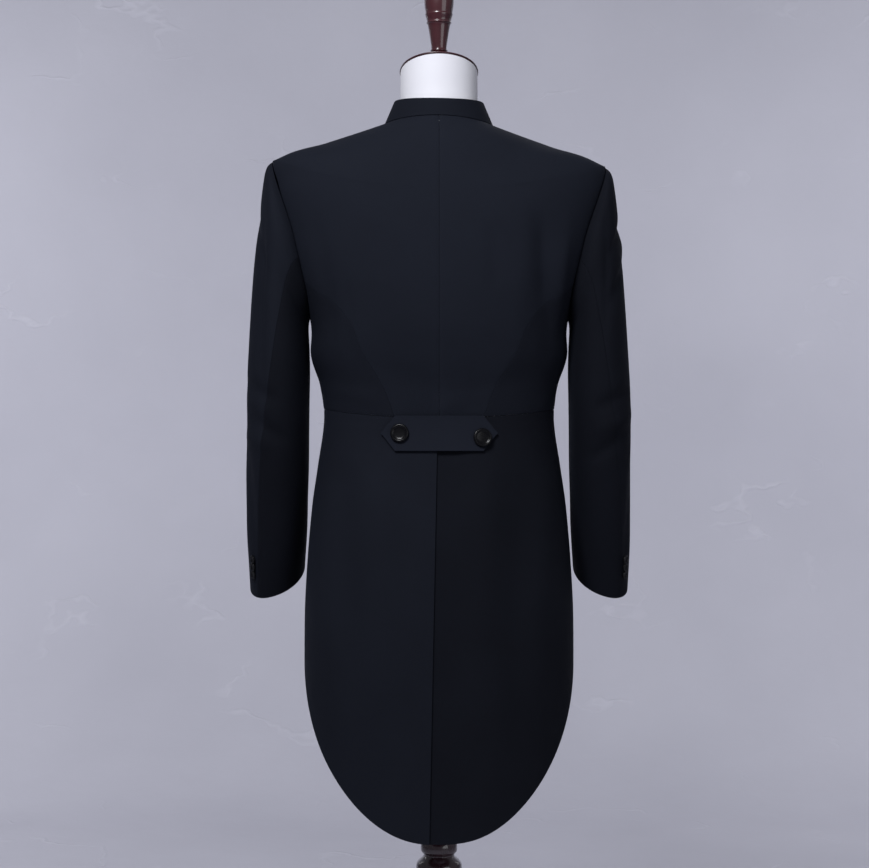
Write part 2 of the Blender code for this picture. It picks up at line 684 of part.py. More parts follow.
def body_level_at(angle, height):
    levels = np.linspace(0, LEVEL["waist"], 701)
    return float(np.interp(-height, -body(angle + 0 * levels, levels)[:, 2], levels))


def make_front_buttons():
    """Four buttons down the centre front, on the lapping left front."""
    for number, height in enumerate(FRONT_BUTTON_HEIGHTS, start=1):
        level = np.array([[body_level_at(180.0, height)]])
        angle = np.array([[180.0]])
        point = body(angle, level)[0, 0]
        inside = moved_in(body, angle, level, np.array([[CLOTH]]))[0, 0]
        place_button(f"front_button_{number}", FRONT_BUTTON, point, point - inside, 16)


def form_ring(points):
    """Arm plates of the form: what reaches past them is drawn in."""
    points = points.copy()
    x = np.abs(points[..., 0])
    drawn = np.where(x > FORM_ARM_PLATE, FORM_ARM_PLATE + (x - FORM_ARM_PLATE) * FORM_ARM_BULGE, x)
    points[..., 0] = np.sign(points[..., 0]) * drawn
    return points


def form_body_rows(angle):
    """Rings of the form under the coat, close to it only along the shoulders."""
    level, around = np.meshgrid(np.array(FORM_LEVELS), angle, indexing="ij")
    folded = np.abs(around)
    ridge = ease(90 - np.abs(folded - 90), *RIDGE_TURN)
    ridge = ridge * ease(level, *RIDGE_IN) * (1 - ease(level, *RIDGE_OUT))
    clearance = FORM_REST + (FORM_CLEARANCE - FORM_REST) * (1 - ridge)
    points = moved_in(body, folded, level, CLOTH + clearance)
    points[..., 0] *= np.where(around < 0, -1.0, 1.0)
    return form_ring(points)


def form_neck_rows(angle):
    """Neck of the form: slanted top, straight sides and a flare into the shoulders."""
    x, y = ring(angle, NECK_RADIUS, NECK_RADIUS, NECK_RADIUS, 2.0)
    y = y + NECK_MIDDLE_Y
    top = np.stack([x, y, NECK_TOP - NECK_SLOPE * y], axis=-1)
    foot_z = NECK_FOOT - 0.30 * (y + 0.06)
    foot = np.stack([x * 1.01, y * 1.01, foot_z], axis=-1)
    base = np.abs(angle)
    flare = moved_in(body, base, np.full_like(base, 0.04), np.full_like(base, CLOTH + 0.007))
    flare[..., 0] *= np.where(angle < 0, -1.0, 1.0)
    flare = flare * FLARE_SHARE + foot * (1 - FLARE_SHARE)
    return np.stack([top, foot, flare - np.array([0.0, 0.0, FLARE_DROP])])


def form_skirt_rows(angle):
    """Hips of the form inside the skirt, rounded in at the foot."""
    height, around = np.meshgrid(np.array(FORM_SKIRT_HEIGHTS), angle, indexing="ij")
    last = FORM_FOOT_INSET * (height <= FORM_FOOT + 1e-6)
    depth = CLOTH + FORM_CLEARANCE + 0.002 + last
    folded = np.abs(around)
    points = moved_in(skirt, folded, height, depth, down_step=0.002)
    points[..., 0] *= np.where(around < 0, -1.0, 1.0)
    points[-1, :, 2] = FORM_FOOT
    return points


def make_form():
    """Limbless torso of the dress form, from its slanted neck to its hips."""
    angle = np.linspace(-180, 180, FORM_COLUMNS + 1)[:-1]
    rows = np.concatenate([form_neck_rows(angle), form_body_rows(angle), form_skirt_rows(angle)])
    count, columns = rows.shape[:2]
    faces = grid_faces(count, columns, closed=True)
    faces.append(list(range(columns)))
    faces.append(list(range((count - 1) * columns, count * columns)))
    white = finish_material("form_cover", (0.74, 0.73, 0.80), 0.55)
    add_object("form_torso", mesh_from("form_torso", lean(rows).reshape(-1, 3), faces), white)


def make_neck_finial():
    """Slanted neck cap and the turned finial that stands on it, as one turned piece of wood."""
    wood = finish_material("mahogany", (0.050, 0.010, 0.014), 0.18)
    finial = turned("neck_finial", FINIAL_PROFILE, wood)
    cap = bpy.data.meshes.new("neck_cap")
    work = bmesh.new()
    radius = NECK_RADIUS + CAP_PROUD
    bmesh.ops.create_cone(work, cap_ends=True, segments=48, radius1=radius,
                          radius2=radius * CAP_TOP_SHARE, depth=CAP_THICKNESS)
    for vertex in work.verts:
        middle = NECK_MIDDLE_Y + vertex.co.y
        vertex.co = Vector((vertex.co.x, middle, NECK_TOP - NECK_SLOPE * middle
                            + vertex.co.z + CAP_THICKNESS / 2 + 2 * SEAM_GAP))
    work.to_mesh(cap)
    work.free()
    cap_piece = bpy.data.objects.new("neck_cap_shape", cap)
    CUTTERS.objects.link(cap_piece)
    cap_piece.hide_render = True
    cap_piece.display_type = "WIRE"
    finial.location.y = NECK_MIDDLE_Y
    join = finial.modifiers.new("Joined to the cap", "BOOLEAN")
    join.operation = "UNION"
    join.solver = "EXACT"
    join.object = cap_piece


def make_stand():
    """Turned pole from under the form down to a plain round base."""
    wood = finish_material("dark_pole", (0.030, 0.012, 0.016), 0.16)
    top = ((0.0, POLE_PROFILE_TOP), (0.0180, POLE_PROFILE_TOP))
    foot = ((0.0, POLE_PROFILE[-1][1]),)
    turned("stand_pole", top + POLE_PROFILE + foot, wood)
    base = (
        (0.0, BASE_THICKNESS), (BASE_RADIUS - BASE_EDGE, BASE_THICKNESS),
        (BASE_RADIUS, BASE_THICKNESS - BASE_EDGE), (BASE_RADIUS, 0.0), (0.0, 0.0),
    )
    turned("stand_base", base, wood, BASE_STEPS)


def clear_scene():
    for item in list(bpy.data.objects):
        bpy.data.objects.remove(item, do_unlink=True)


clear_scene()
COAT = bpy.data.collections.new("tailcoat_on_form")
CUTTERS = bpy.data.collections.new("joining_shapes")
bpy.context.scene.collection.children.link(COAT)
bpy.context.scene.collection.children.link(CUTTERS)

for name_of_side in SIDES:
    make_back(name_of_side)
    make_side(name_of_side)
    make_front(name_of_side)
    make_tail(name_of_side)
    make_sleeve(name_of_side)
    make_cuff_buttons(name_of_side)
make_collar()
make_belt()
make_belt_buttons()
make_front_buttons()
make_form()
make_neck_finial()
make_stand()
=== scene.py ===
"""Looks of a dark tailcoat on a white dress form: cloth with its creases, buttons and wood."""
import math

import bmesh
import bpy
import numpy as np
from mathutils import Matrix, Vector


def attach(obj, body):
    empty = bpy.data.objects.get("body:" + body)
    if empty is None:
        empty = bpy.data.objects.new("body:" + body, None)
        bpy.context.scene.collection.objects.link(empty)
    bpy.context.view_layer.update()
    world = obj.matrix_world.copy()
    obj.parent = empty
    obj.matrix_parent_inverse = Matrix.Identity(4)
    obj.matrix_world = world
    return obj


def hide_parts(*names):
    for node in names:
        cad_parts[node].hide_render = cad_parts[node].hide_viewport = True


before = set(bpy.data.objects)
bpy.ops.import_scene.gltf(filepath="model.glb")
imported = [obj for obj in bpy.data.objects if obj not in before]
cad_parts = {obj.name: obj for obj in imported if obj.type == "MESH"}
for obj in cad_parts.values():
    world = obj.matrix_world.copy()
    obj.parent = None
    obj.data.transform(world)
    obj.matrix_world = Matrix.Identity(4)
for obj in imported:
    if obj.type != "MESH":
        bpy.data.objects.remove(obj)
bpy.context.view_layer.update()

# Cloth walls and gaps, in metres, as the solids have them
CLOTH = 0.0022
COLLAR_CLOTH = 0.0030
BELT_CLOTH = 0.0028
SEAM_GAP = 0.0003
PANEL_GAP = 0.0002
ARMHOLE_GAP = 0.0001
LAP = CLOTH + 0.0010
SKIRT_STEP = 0.002

# Seamed edges turn in towards the body: how deep, over how much cloth, and each seam's share
SEAM_ROLL, SEAM_ROLL_WIDTH = 0.0010, 0.0026
FLAT_SEAM, CENTRE_SEAM, ARMHOLE_SEAM = 0.2, 0.45, 0.55

# Points across and down the grids of cloth
BACK_ACROSS, FRONT_ACROSS, SIDE_ACROSS, SIDE_DOWN = 72, 80, 60, 66
TAIL_ACROSS, TAIL_DOWN, TAIL_CROWDING = 120, 110, 1.1
TOP_SLEEVE_ACROSS, UNDER_SLEEVE_ACROSS = 76, 52
COLLAR_ROUND, COLLAR_UP = 181, 13
BUTTON_STEPS, TURNED_STEPS, BASE_STEPS = 64, 96, 128
SHOULDER_ROWS, ARMHOLE_ROWS, PANEL_ROWS, PANEL_CROWDING = 29, 25, 62, 0.7
SLEEVE_HEAD, HEAD_ROWS, ARM_ROWS = 2.0, 24, 96
BELT_ENDS, BELT_MIDDLE, BELT_DOWN, BELT_TIP = 9, 60, 25, 0.04
FORM_ROUND, HIP_ROWS = 145, 24

LEFT, RIGHT = -1, 1
SIDES = {"left": LEFT, "right": RIGHT}

# Sections of the coat above the waist, from the neckline down: height at the back, side and front,
# half width, depth to the back and to the front, and squareness
BODY_SECTIONS = {
    "neckline":     (1.4670, 1.4615, 1.4050, 0.0755, 0.0700, 0.0700, 2.0),
    "mid_shoulder": (1.4230, 1.4355, 1.3720, 0.1525, 0.1040, 0.0920, 2.1),
    "shoulder":     (1.3650, 1.4090, 1.3250, 0.2290, 0.1210, 0.1080, 2.3),
    "blade":        (1.2900, 1.3020, 1.2700, 0.2130, 0.1280, 0.1220, 2.5),
    "underarm":     (1.1970, 1.1970, 1.1970, 0.1780, 0.1270, 0.1300, 2.5),
    "chest":        (1.1450, 1.1450, 1.1450, 0.1762, 0.1190, 0.1270, 2.4),
    "ribs":         (1.1000, 1.1050, 1.1000, 0.1635, 0.1080, 0.1200, 2.4),
    "waist":        (1.0600, 1.0720, 1.0550, 0.1585, 0.1020, 0.1140, 2.4),
}
BODY_ROWS = list(BODY_SECTIONS.values())
LEVEL = {name: float(number) for number, name in enumerate(BODY_SECTIONS)}

# Sections of the skirt from the waist seam down: height, half width, back, front and squareness
SKIRT_SECTIONS = (
    (1.080, 0.1585, 0.1020, 0.1140, 2.4),
    (1.050, 0.1588, 0.1025, 0.1140, 2.4),
    (1.000, 0.1660, 0.1100, 0.1160, 2.4),
    (0.945, 0.1740, 0.1190, 0.1180, 2.4),
    (0.880, 0.1800, 0.1260, 0.1190, 2.4),
    (0.800, 0.1845, 0.1300, 0.1190, 2.4),
    (0.700, 0.1850, 0.1320, 0.1190, 2.4),
    (0.480, 0.1840, 0.1320, 0.1190, 2.4),
)
HEM_SIDE, HEM_SLOPE, HEM_TIP, HEM_FRONT_RISE = 0.740, 0.225, 0.018, 0.088

# Seams of the body, in degrees round from the centre back
ARMHOLE_MIDDLE, ARMHOLE_REACH = 90.0, 26.0
SIDE_BACK_SEAM = {"blade": 64.0, "underarm": 41.0, "chest": 31.0, "ribs": 23.0, "waist": 18.0}
SIDE_BACK_TURN, SIDE_FRONT_TURN = 122.0, 203.0
SIDE_FRONT_SEAM = 100.0
FRONT_LAP, LAP_RAMP = 8.0, 12.0
VENT_EDGE_TOP, VENT_EDGE_FOOT, VENT_UNDERLAP = -0.002, -0.013, 0.042

# Sections of a right sleeve from the armhole to the cuff: x and z of its outer line, x and z of its
# inner line, y of its middle, half depth, and how far its back rises
SLEEVE_SECTIONS = (
    (0.2295, 1.4090, 0.1785, 1.1970, 0.000, 0.0660, 0.0),
    (0.2375, 1.3990, 0.1800, 1.1925, -0.001, 0.0740, 0.0),
    (0.2420, 1.3750, 0.1803, 1.1850, -0.002, 0.0775, 0.0),
    (0.2465, 1.3350, 0.1800, 1.1760, -0.002, 0.0780, 0.0),
    (0.2510, 1.2850, 0.1793, 1.1650, -0.002, 0.0780, 0.0),
    (0.2560, 1.2150, 0.1786, 1.1500, -0.002, 0.0780, 0.0),
    (0.2600, 1.1500, 0.1780, 1.1180, -0.003, 0.0765, 0.0),
    (0.2630, 1.0950, 0.1787, 1.0800, -0.003, 0.0730, 0.0),
    (0.2640, 1.0450, 0.1793, 1.0400, 0.001, 0.0700, 0.0),
    (0.2650, 0.9900, 0.1802, 0.9950, 0.010, 0.0650, -0.006),
    (0.2655, 0.9350, 0.1822, 0.9500, 0.022, 0.0600, -0.012),
    (0.2663, 0.8850, 0.1840, 0.9050, 0.036, 0.0560, -0.018),
    (0.2650, 0.8255, 0.1884, 0.8500, 0.054, 0.0500, -0.0238),
)
SLEEVE_SQUARENESS, SLEEVE_REACH, ARMHOLE_FADE = 2.15, 0.06, 3.0
HIND_SEAM_TOP, HIND_SEAM_CUFF = 104.0, 52.0
FORE_SEAM_TOP, FORE_SEAM_CUFF = -100.0, -122.0

# Collar, belt and buttons
COLLAR_TOP = {"z_back": 1.4915, "z_side": 1.4945, "z_front": 1.4330,
              "half_width": 0.0615, "back": 0.0630, "front": 0.0640}
COLLAR_FRONT_GAP, COLLAR_GAP = 2.0, 0.0004
BELT_HALF_LENGTH, BELT_TAPER = 0.0770, 0.0185
BELT_TOP, BELT_FOOT, BELT_STANDOFF = 1.0625, 1.0150, 0.0014
BELT_BUTTONS = {"left": (-0.0520, 1.0385), "right": (0.0570, 1.0325)}
BELT_BUTTON = (0.0125, 0.0042)
CUFF_BUTTON = (0.0055, 0.0028)
FRONT_BUTTON = (0.0105, 0.0038)
CUFF_BUTTON_HEIGHTS = (0.8655, 0.8545, 0.8435)
CUFF_BUTTON_INSET = 9.0
FRONT_BUTTON_HEIGHTS = (1.365, 1.270, 1.175, 1.085)
HOLE_MIDDLE, HOLE_HALF_LENGTH, HOLE_HALF_WIDTH, HOLE_RISE = 0.008, 0.013, 0.0015, 0.0007

# The shoulders slope down a little towards the wearer's right
LEAN, LEAN_START, LEAN_FULL, LEAN_FADE, LEAN_GONE = 0.018, 1.10, 1.38, 1.492, 1.512

# The dress form and its stand
FORM_CLEARANCE, FORM_REST = 0.0045, 0.0014
FORM_ARM_PLATE, FORM_ARM_BULGE = 0.186, 0.2
LINING_OUT, LINING_THICK = 0.0003, 0.0004
FORM_FOOT, FORM_FOOT_INSET = 0.870, 0.018
NECK_RADIUS, NECK_MIDDLE_Y, NECK_TOP, NECK_SLOPE, NECK_FOOT = 0.053, -0.004, 1.5330, 0.34, 1.4760
CAP_THICKNESS, CAP_PROUD, CAP_TOP_SHARE = 0.0065, 0.0012, 0.80
FINIAL_PROFILE = (
    (0.0000, 1.6890), (0.0090, 1.6875), (0.0165, 1.6800), (0.0200, 1.6670), (0.0203, 1.6330),
    (0.0185, 1.6180), (0.0190, 1.6155), (0.0165, 1.6070), (0.0172, 1.6040), (0.0150, 1.5990),
    (0.0105, 1.5700), (0.0120, 1.5660), (0.0100, 1.5620), (0.0085, 1.5450), (0.0085, 1.5382),
)
BASE_RADIUS, BASE_THICKNESS, BASE_ROUNDING, BASE_EDGE, BASE_FLAT = 0.190, 0.020, 0.006, 0.0008, 0.10
HUB = 0.004
POLE_PROFILE = (
    (0.0180, 0.8697), (0.0180, 0.4800), (0.0225, 0.4780), (0.0250, 0.4725), (0.0250, 0.4640),
    (0.0215, 0.4590), (0.0220, 0.4560), (0.0300, 0.4480), (0.0318, 0.4380), (0.0310, 0.4100),
    (0.0230, 0.3300), (0.0190, 0.2400), (0.0190, 0.0900), (0.0260, 0.0740), (0.0270, 0.0620),
    (0.0220, 0.0520), (0.0400, 0.0300), (0.0450, 0.0203),
)

# Painted light and shade per panel: an offset in metres added to the grain's U, which the wool reads
# through a slow sine; 3 is its lightest, 9 its darkest. It paints light on the backs and the belt and
# paints shade on the right tail, the right sleeve and the left under sleeve.
PAINTED_SHADE_PERIOD = 12.0
PAINTED_SHADE_OFFSET = {"tail_left": 0.1, "tail_right": 7.9, "under_sleeve_left": 9.0, "under_sleeve_right": 7.6,
        "top_sleeve_right": 7.0, "back_left": 1.6, "back_right": 1.8, "half_belt": 1.6}

# Soft folds: place across the cloth, height, how far it runs, width, lean in degrees and depth.
# Across is x on the back and front, and metres round the arm from its outside on a sleeve.
BACK_FOLDS = (
    (0.140, 1.262, 0.062, 0.0120, 3, -0.0052),
    (0.163, 1.240, 0.075, 0.0100, -6, 0.0040),
    (0.112, 1.268, 0.070, 0.0150, 2, 0.0016),
    (0.073, 1.275, 0.045, 0.0110, 2, -0.0018),
    (0.150, 1.175, 0.040, 0.0120, -4, -0.0022),
    (-0.135, 1.408, 0.105, 0.0150, -71, -0.0024),
    (0.104, 1.215, 0.080, 0.0150, -5, 0.0013),
    (-0.122, 1.195, 0.055, 0.0100, 5, -0.0016),
    (-0.152, 1.245, 0.070, 0.0120, 7, -0.0022),
    (-0.090, 1.330, 0.060, 0.0220, 50, 0.0010),
    (0.110, 1.352, 0.060, 0.0220, -48, 0.0010),
    (-0.060, 1.120, 0.060, 0.0160, 68, -0.0010),
    (0.085, 1.105, 0.060, 0.0150, -66, -0.0012),
    (0.040, 1.085, 0.045, 0.0110, -74, 0.0009),
    (-0.120, 1.092, 0.045, 0.0100, 78, 0.0010),
)
TAIL_FOLDS = (
    (-0.128, 0.900, 0.130, 0.0190, 2, -0.0033),
    (-0.085, 0.820, 0.180, 0.0230, 1, 0.0027),
    (-0.045, 0.930, 0.110, 0.0160, 1, -0.0019),
    (0.062, 0.890, 0.150, 0.0200, -2, 0.0027),
    (0.104, 0.800, 0.170, 0.0230, -1, -0.0036),
    (0.142, 0.900, 0.110, 0.0170, -3, 0.0024),
    (-0.140, 0.700, 0.090, 0.0210, 3, 0.0027),
    (0.075, 0.640, 0.100, 0.0230, -2, 0.0021),
    (-0.060, 0.620, 0.090, 0.0240, 2, -0.0023),
)
FRONT_FOLDS = (
    (0.120, 1.240, 0.070, 0.0130, -12, -0.0031),
    (-0.124, 1.232, 0.060, 0.0130, 14, -0.0029),
    (0.070, 1.125, 0.050, 0.0140, 62, -0.0016),
    (-0.075, 1.118, 0.060, 0.0150, -64, -0.0016),
    (0.040, 1.190, 0.080, 0.0200, 8, 0.0013),
    (-0.048, 1.205, 0.070, 0.0200, -6, 0.0013),
)
SLEEVE_FOLDS = {
    "right": (
        (0.020, 1.318, 0.050, 0.0085, 52, -0.0042),
        (0.012, 1.290, 0.045, 0.0080, 46, 0.0033),
        (0.040, 1.255, 0.055, 0.0100, 38, -0.0033),
        (0.075, 1.270, 0.090, 0.0110, 8, -0.0030),
        (0.070, 1.085, 0.040, 0.0100, 70, -0.0033),
        (0.060, 1.055, 0.045, 0.0100, 76, 0.0027),
        (0.085, 1.020, 0.040, 0.0090, 64, -0.0027),
        (-0.070, 1.075, 0.040, 0.0095, -72, -0.0039),
        (-0.080, 1.040, 0.038, 0.0090, -66, -0.0033),
        (0.030, 0.930, 0.080, 0.0130, 14, -0.0019),
    ),
    "left": (
        (0.030, 1.300, 0.060, 0.0100, 34, -0.0027),
        (0.055, 1.210, 0.130, 0.0130, 6, -0.0036),
        (0.022, 1.180, 0.120, 0.0150, 3, 0.0024),
        (0.060, 1.095, 0.040, 0.0100, 72, -0.0033),
        (0.080, 1.045, 0.045, 0.0100, 66, -0.0030),
        (0.050, 1.030, 0.035, 0.0090, 80, 0.0021),
        (-0.072, 1.085, 0.040, 0.0100, -70, -0.0039),
        (-0.085, 1.050, 0.038, 0.0090, -62, -0.0030),
        (0.045, 0.920, 0.090, 0.0140, 10, -0.0023),
        (0.010, 0.950, 0.070, 0.0150, 5, 0.0015),
    ),
}

# Folds fade in below the first pair and out below the second: body and sleeves by row, tails by height
BODY_FOLDS_START, BODY_FOLDS_END = (1.6, 2.4), (6.7, 7.0)
SLEEVE_FOLDS_START, SLEEVE_FOLDS_END, SLEEVE_FOLDS_ROUND = (0.6, 2.2), (11.0, 12.0), (0.105, 0.140)
TAIL_FOLDS_START, TAIL_FOLDS_BEHIND, TAIL_FOLDS_APART = (0.97, 1.02), (0.0, 0.05), (0.015, 0.04)

# The form: where its shoulder ridge lies, by angle and level, and its levels from neck to waist
RIDGE_TURN, RIDGE_IN, RIDGE_OUT = (58, 82), (0.3, 0.7), (1.4, 1.9)
FLARE_SHARE, FLARE_DEPTH, FLARE_DROP = 0.55, 0.007, 0.004
HIP_TOP, HIP_CLEARANCE, HIP_ROUNDING = 1.062, 0.002, 0.030
FORM_LEVELS = np.concatenate([np.linspace(0.35, 2.2, 22), np.linspace(2.3, 6.6, 34)])
LINING_TOP, LINING_FOOT = 0.36, 6.2

# The photo's view: its frame, its scale at the middle of the coat and the eye's height
IMAGE_WIDTH = 869
METRES_A_PIXEL = 0.00138
EYE_DISTANCE = 2.80
EYE_HEIGHT = 1.038
EYE_X = -0.0062
SENSOR_WIDTH = 36.0


def smooth_rows(rows, at):
    """Cubic curve through a table's rows, read at fractional row numbers."""
    rows = np.asarray(rows, float)
    at = np.clip(np.asarray(at, float), 0.0, len(rows) - 1.0)
    slope = np.gradient(rows, axis=0)
    low = np.minimum(at.astype(int), len(rows) - 2)
    part = (at - low)[..., None]
    square, cube = part ** 2, part ** 3
    return (
        (2 * cube - 3 * square + 1) * rows[low]
        + (cube - 2 * square + part) * slope[low]
        + (3 * square - 2 * cube) * rows[low + 1]
        + (cube - square) * slope[low + 1]
    )


def straight_rows(rows, at):
    """Straight lines through a table's rows, read at fractional row numbers."""
    rows = np.asarray(rows, float)
    at = np.clip(np.asarray(at, float), 0.0, len(rows) - 1.0)
    low = np.minimum(at.astype(int), len(rows) - 2)
    part = (at - low)[..., None]
    return rows[low] * (1 - part) + rows[low + 1] * part


def ease(value, start, end):
    """0 before start, 1 after end, and 3t^2 - 2t^3 between."""
    part = np.clip((np.asarray(value, float) - start) / (end - start), 0.0, 1.0)
    return part * part * (3 - 2 * part)


def signed_power(value, power):
    """Power of the size, with the value's sign kept."""
    return np.sign(value) * np.abs(value) ** power


def unit(vectors):
    """Vectors at length 1: v / |v|."""
    return vectors / np.linalg.norm(vectors, axis=-1, keepdims=True)


def ring(angle, half_width, back, front, squareness):
    """Squared ellipse: x = width * sin^(2/n), y = -depth * cos^(2/n) of the angle from the back."""
    turn = np.radians(angle)
    power = 2.0 / squareness
    x = half_width * signed_power(np.sin(turn), power)
    forward = -signed_power(np.cos(turn), power)
    return x, np.where(forward < 0, forward * back, forward * front)


def body(angle, level):
    """Coat above the waist: the section ring at a level, its height following sin^2 of the angle."""
    angle, level = np.broadcast_arrays(np.asarray(angle, float), np.asarray(level, float))
    curve = smooth_rows(BODY_ROWS, level)
    straight = straight_rows(BODY_ROWS, level)
    on_shoulder = ease(90 - np.abs(angle - 90), 60, 88) * (level <= LEVEL["shoulder"] + 1e-9)
    curve = curve + (straight - curve) * on_shoulder[..., None]
    z_back, z_side, z_front, half_width, back, front, squareness = np.moveaxis(curve, -1, 0)
    x, y = ring(angle, half_width, back, front, squareness)
    sideways = np.sin(np.radians(angle)) ** 2
    z_end = np.where(np.abs(angle) < 90, z_back, z_front)
    return np.stack([x, y, z_end + (z_side - z_end) * sideways], axis=-1)


def skirt(angle, height):
    """Coat below the waist: the section ring at a height."""
    angle, height = np.broadcast_arrays(np.asarray(angle, float), np.asarray(height, float))
    table = np.asarray(SKIRT_SECTIONS)
    row = np.interp(-height, -table[:, 0], np.arange(len(table)))
    x, y = ring(angle, *np.moveaxis(smooth_rows(table[:, 1:], row), -1, 0))
    return np.stack([x, y, height], axis=-1)


def moved_in(surface, first, second, depth, down_step=0.02):
    """Surface points minus depth times the unit cross product of the surface's two directions."""
    across = surface(first + 0.4, second) - surface(first - 0.4, second)
    along = surface(first, second + down_step) - surface(first, second - down_step)
    normal = unit(np.cross(across, along))
    points = surface(first, second)
    outward = np.stack([points[..., 0], points[..., 1], np.full(points.shape[:-1], 0.02)], axis=-1)
    flip = np.sign(np.sum(normal * outward, axis=-1, keepdims=True))
    return points - normal * flip * np.asarray(depth)[..., None]


def lean(points):
    """Height less LEAN * x, eased in from the ribs and out above the collar."""
    points = np.array(points, float)
    height = points[..., 2]
    share = ease(height, LEAN_START, LEAN_FULL) * (1 - ease(height, LEAN_FADE, LEAN_GONE))
    points[..., 2] = height - LEAN * points[..., 0] * share
    return points


def folds(table, across, height):
    """Sum of soft ridges and troughs: depth * exp(-(s/width)^2) * exp(-(t/run)^4) for each row."""
    total = np.zeros(np.broadcast(across, height).shape)
    for place, level, run, width, tilt, depth in table:
        turn = math.radians(tilt)
        side = (across - place) * math.cos(turn) + (height - level) * math.sin(turn)
        down = (height - level) * math.cos(turn) - (across - place) * math.sin(turn)
        total = total + depth * np.exp(-(side / width) ** 2) * np.exp(-(down / run) ** 4)
    return total


def mirrored(points, side):
    """Points with x times the side's sign."""
    return points * np.array([side, 1.0, 1.0])


def armhole(turn):
    """Angle and level of the armhole's edge: an oval in angle and level, from the shoulder."""
    around = np.radians(turn)
    half = (LEVEL["underarm"] - LEVEL["shoulder"]) / 2
    return (ARMHOLE_MIDDLE - ARMHOLE_REACH * np.sin(around),
            LEVEL["shoulder"] + half * (1 - np.cos(around)))


def turn_at(level):
    """Turn round the armhole at a level, the reverse of armhole()."""
    half = (LEVEL["underarm"] - LEVEL["shoulder"]) / 2
    return np.degrees(np.arccos(np.clip(1 - (level - LEVEL["shoulder"]) / half, -1, 1)))


SIDE_BACK_START = armhole(SIDE_BACK_TURN)
SIDE_FRONT_START = armhole(SIDE_FRONT_TURN)


def side_back_seam(level):
    """Angle of the seam between back and side: a smooth curve through SIDE_BACK_SEAM."""
    start_angle, start_level = SIDE_BACK_START
    below = [name for name in SIDE_BACK_SEAM if LEVEL[name] > start_level]
    levels = [start_level] + [LEVEL[name] for name in below]
    angles = [start_angle] + [SIDE_BACK_SEAM[name] for name in below]
    smooth = smooth_rows(np.stack([levels, angles], axis=-1), np.linspace(0, len(levels) - 1, 60))
    return np.interp(level, smooth[:, 0], smooth[:, 1])


def side_front_seam(level):
    """Angle of the seam between side and front, eased to SIDE_FRONT_SEAM by the ribs."""
    start_angle, start_level = SIDE_FRONT_START
    return start_angle + (SIDE_FRONT_SEAM - start_angle) * ease(level, start_level, LEVEL["ribs"])


def outer_edge(level, seam, start_level, facing):
    """Outer edge of a back (-1) or a front (+1): shoulder seam, armhole, then the side seam."""
    angle = 90 + facing * (90 - armhole(turn_at(level))[0])
    edge = np.where(level < LEVEL["shoulder"], 90.0, angle)
    return np.where(level > start_level, seam(np.maximum(level, start_level)), edge)


def edge_gap(level):
    """Angle of half a panel gap at about the coat's half width."""
    width = smooth_rows(BODY_ROWS, level)[..., 3]
    return np.degrees(PANEL_GAP / 2 / np.maximum(width * 0.8, 0.05))


def quarter_gap(level, column):
    """Angle from a quarter turn, where the ring is flat, that leaves half a seam gap."""
    section = smooth_rows(BODY_ROWS, level)
    share = SEAM_GAP / 2 / section[..., column]
    return np.degrees(np.arcsin(share ** (section[..., 6] / 2)))


def panel_gap(level):
    """Half the gap at a panel's outer edge: shoulder seam first, then armhole and side seam."""
    return np.where(level < LEVEL["shoulder"], quarter_gap(level, 4), edge_gap(level))


def toward_edges(count, share=0.82):
    """Steps from 0 to 1 that crowd at both ends: u - share * sin(2 pi u) / (2 pi)."""
    step = np.linspace(0, 1, count)
    return step - share * np.sin(2 * np.pi * step) / (2 * np.pi)


def lengths(points, axis):
    """Distance run along one direction of a grid of points."""
    steps = np.linalg.norm(np.diff(points, axis=axis), axis=-1)
    run = np.cumsum(steps, axis=axis)
    start = np.zeros_like(np.take(run, [0], axis=axis))
    return np.concatenate([start, run], axis=axis)


def seam_roll(points, **shares):
    """Depth share * SEAM_ROLL * exp(-(d / SEAM_ROLL_WIDTH)^2) of the distance d to each edge."""
    across, down = lengths(points, 1), lengths(points, 0)
    runs = {"first": across, "last": across[:, -1:] - across, "top": down, "foot": down[-1:] - down}
    total = np.zeros(points.shape[:2])
    for edge, share in shares.items():
        total = np.maximum(total, share * np.exp(-(runs[edge] / SEAM_ROLL_WIDTH) ** 2))
    return SEAM_ROLL * total


def lap_depth(angle, side):
    """How far the right-hand front and tail sink in under the left-hand ones."""
    return LAP * ease(angle, 180 - FRONT_LAP - LAP_RAMP, 180 - FRONT_LAP) * (side == RIGHT)


# Materials

class Value:
    """A shader socket that adds its own Math nodes when it is used in an expression."""

    def __init__(self, tree, socket):
        self.tree, self.socket = tree, socket

    def maths(self, operation, other=None, swap=False):
        node = self.tree.nodes.new("ShaderNodeMath")
        node.operation = operation
        terms = [self] if other is None else [other, self] if swap else [self, other]
        for slot, term in zip(node.inputs, terms):
            if isinstance(term, Value):
                self.tree.links.new(term.socket, slot)
            else:
                slot.default_value = term
        return Value(self.tree, node.outputs[0])

    def __add__(self, other):
        return self.maths("ADD", other)

    def __sub__(self, other):
        return self.maths("SUBTRACT", other)

    def __rsub__(self, other):
        return self.maths("SUBTRACT", other, swap=True)

    def __mul__(self, other):
        return self.maths("MULTIPLY", other)

    __radd__ = __add__
    __rmul__ = __mul__


